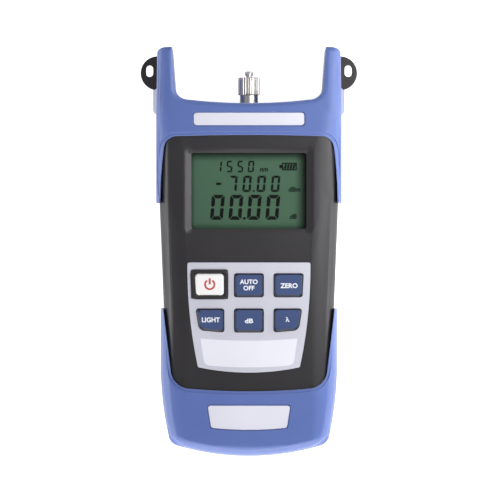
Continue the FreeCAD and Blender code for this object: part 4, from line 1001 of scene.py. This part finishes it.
# Studio: white table and room, soft boxes above the meter on all sides, and three low ones for its rims

studio = {
    "table": 3.0,
    "tableBelow": 0.02 * mm,    # so that the table's face and the meter's don't coincide
    "tableGlow": 0.85,          # with the lamps on it, the table is seen as white
    "world": 0.22,              # light of the white room
    "mirrored": 0.4,            # what glossy and clear pieces mirror of the room and the table
    "boxes": (
        {"at": (-0.62, 0.05, 0.34), "size": (0.5, 0.9), "watts": 0.2},
        {"at": (0.2, 0.08, 0.23), "size": (0.14, 0.3), "watts": 0.75},
        {"at": (0.05, 0.75, 0.75), "size": (0.9, 0.5), "watts": 0.65},
        {"at": (0.0, -0.6, 0.5), "size": (0.9, 0.4), "watts": 2.3},
        {"at": (-0.4, 0.0, 0.07), "size": (0.7, 0.12), "watts": 1.3},
        {"at": (0.4, 0.0, 0.07), "size": (0.7, 0.12), "watts": 1.1},
        {"at": (0.0, -0.42, 0.07), "size": (0.5, 0.12), "watts": 1.2},
    ),
}


# Raises a strength for the rays that leave glossy and clear pieces.
def mirroredToo(tree, path, strength):
    for name in ("Is Glossy Ray", "Is Transmission Ray"):
        mirrored = addNode(tree, "ShaderNodeMath", {0: path.outputs[name], 1: studio["mirrored"]},
                           operation="MULTIPLY").outputs[0]
        strength = addNode(tree, "ShaderNodeMath", {0: strength, 1: mirrored},
                           operation="MAXIMUM").outputs[0]
    return strength


# Table of matt white paper, with faint clouds a third of a metre across.
def whiteTable():
    bpy.ops.mesh.primitive_plane_add(size=studio["table"], location=(0, 0, -studio["tableBelow"]))
    table = bpy.context.object
    table.name = "table"
    finish, tree, shader, place = startFinish("whiteTable", Roughness=0.9, IOR=1.3)
    cloud = addNode(tree, "ShaderNodeTexNoise", {"Vector": place, "Scale": 3.0})
    tint(tree, shader, cloud.outputs["Fac"], "#f2f2f2", "#f5f5f5")
    path = addNode(tree, "ShaderNodeLightPath")
    seen = addNode(tree, "ShaderNodeMath", {0: path.outputs["Is Camera Ray"], 1: studio["tableGlow"]},
                   operation="MULTIPLY").outputs[0]
    tree.links.new(mirroredToo(tree, path, seen), shader.inputs["Emission Strength"])
    shader.inputs["Emission Color"].default_value = (1, 1, 1, 1)
    table.data.materials.append(finish)


# Soft boxes: flat lamps that all face the middle of the meter.
def softBoxes():
    for number, box in enumerate(studio["boxes"]):
        lamp = bpy.data.lights.new(f"softBox{number}", "AREA")
        lamp.shape = "RECTANGLE"
        lamp.size, lamp.size_y = box["size"]
        lamp.energy = box["watts"]
        holder = bpy.data.objects.new(lamp.name, lamp)
        bpy.context.collection.objects.link(holder)
        holder.location = box["at"]
        holder.rotation_euler = (-Vector(box["at"])).to_track_quat("-Z", "Y").to_euler()


# Room of white paper: seen as white, and a dim even light on the meter.
def paperSky():
    world = bpy.data.worlds.new("paperSky")
    bpy.context.scene.world = world
    world.use_nodes = True
    tree = world.node_tree
    background = tree.nodes["Background"]
    path = addNode(tree, "ShaderNodeLightPath")
    seen = addNode(tree, "ShaderNodeMapRange", {"Value": path.outputs["Is Camera Ray"],
                                                "To Min": studio["world"], "To Max": 1.0}).outputs["Result"]
    tree.links.new(mirroredToo(tree, path, seen), background.inputs["Strength"])
    background.inputs["Color"].default_value = (1, 1, 1, 1)


# Camera: straight above the meter and far away, with a long lens
viewer = {"at": (0.0005, 0.0007, 3.0), "lens": 459.0, "sensor": 36.0}


def lookDown():
    camera = bpy.data.cameras.new("viewer")
    camera.lens = viewer["lens"]
    camera.sensor_width = viewer["sensor"]
    camera.clip_start = 0.01
    holder = bpy.data.objects.new("viewer", camera)
    bpy.context.collection.objects.link(holder)
    holder.location = viewer["at"]
    bpy.context.scene.camera = holder


whiteTable()
softBoxes()
paperSky()
lookDown()
bpy.context.scene.view_settings.view_transform = "Standard"
print("studio set")
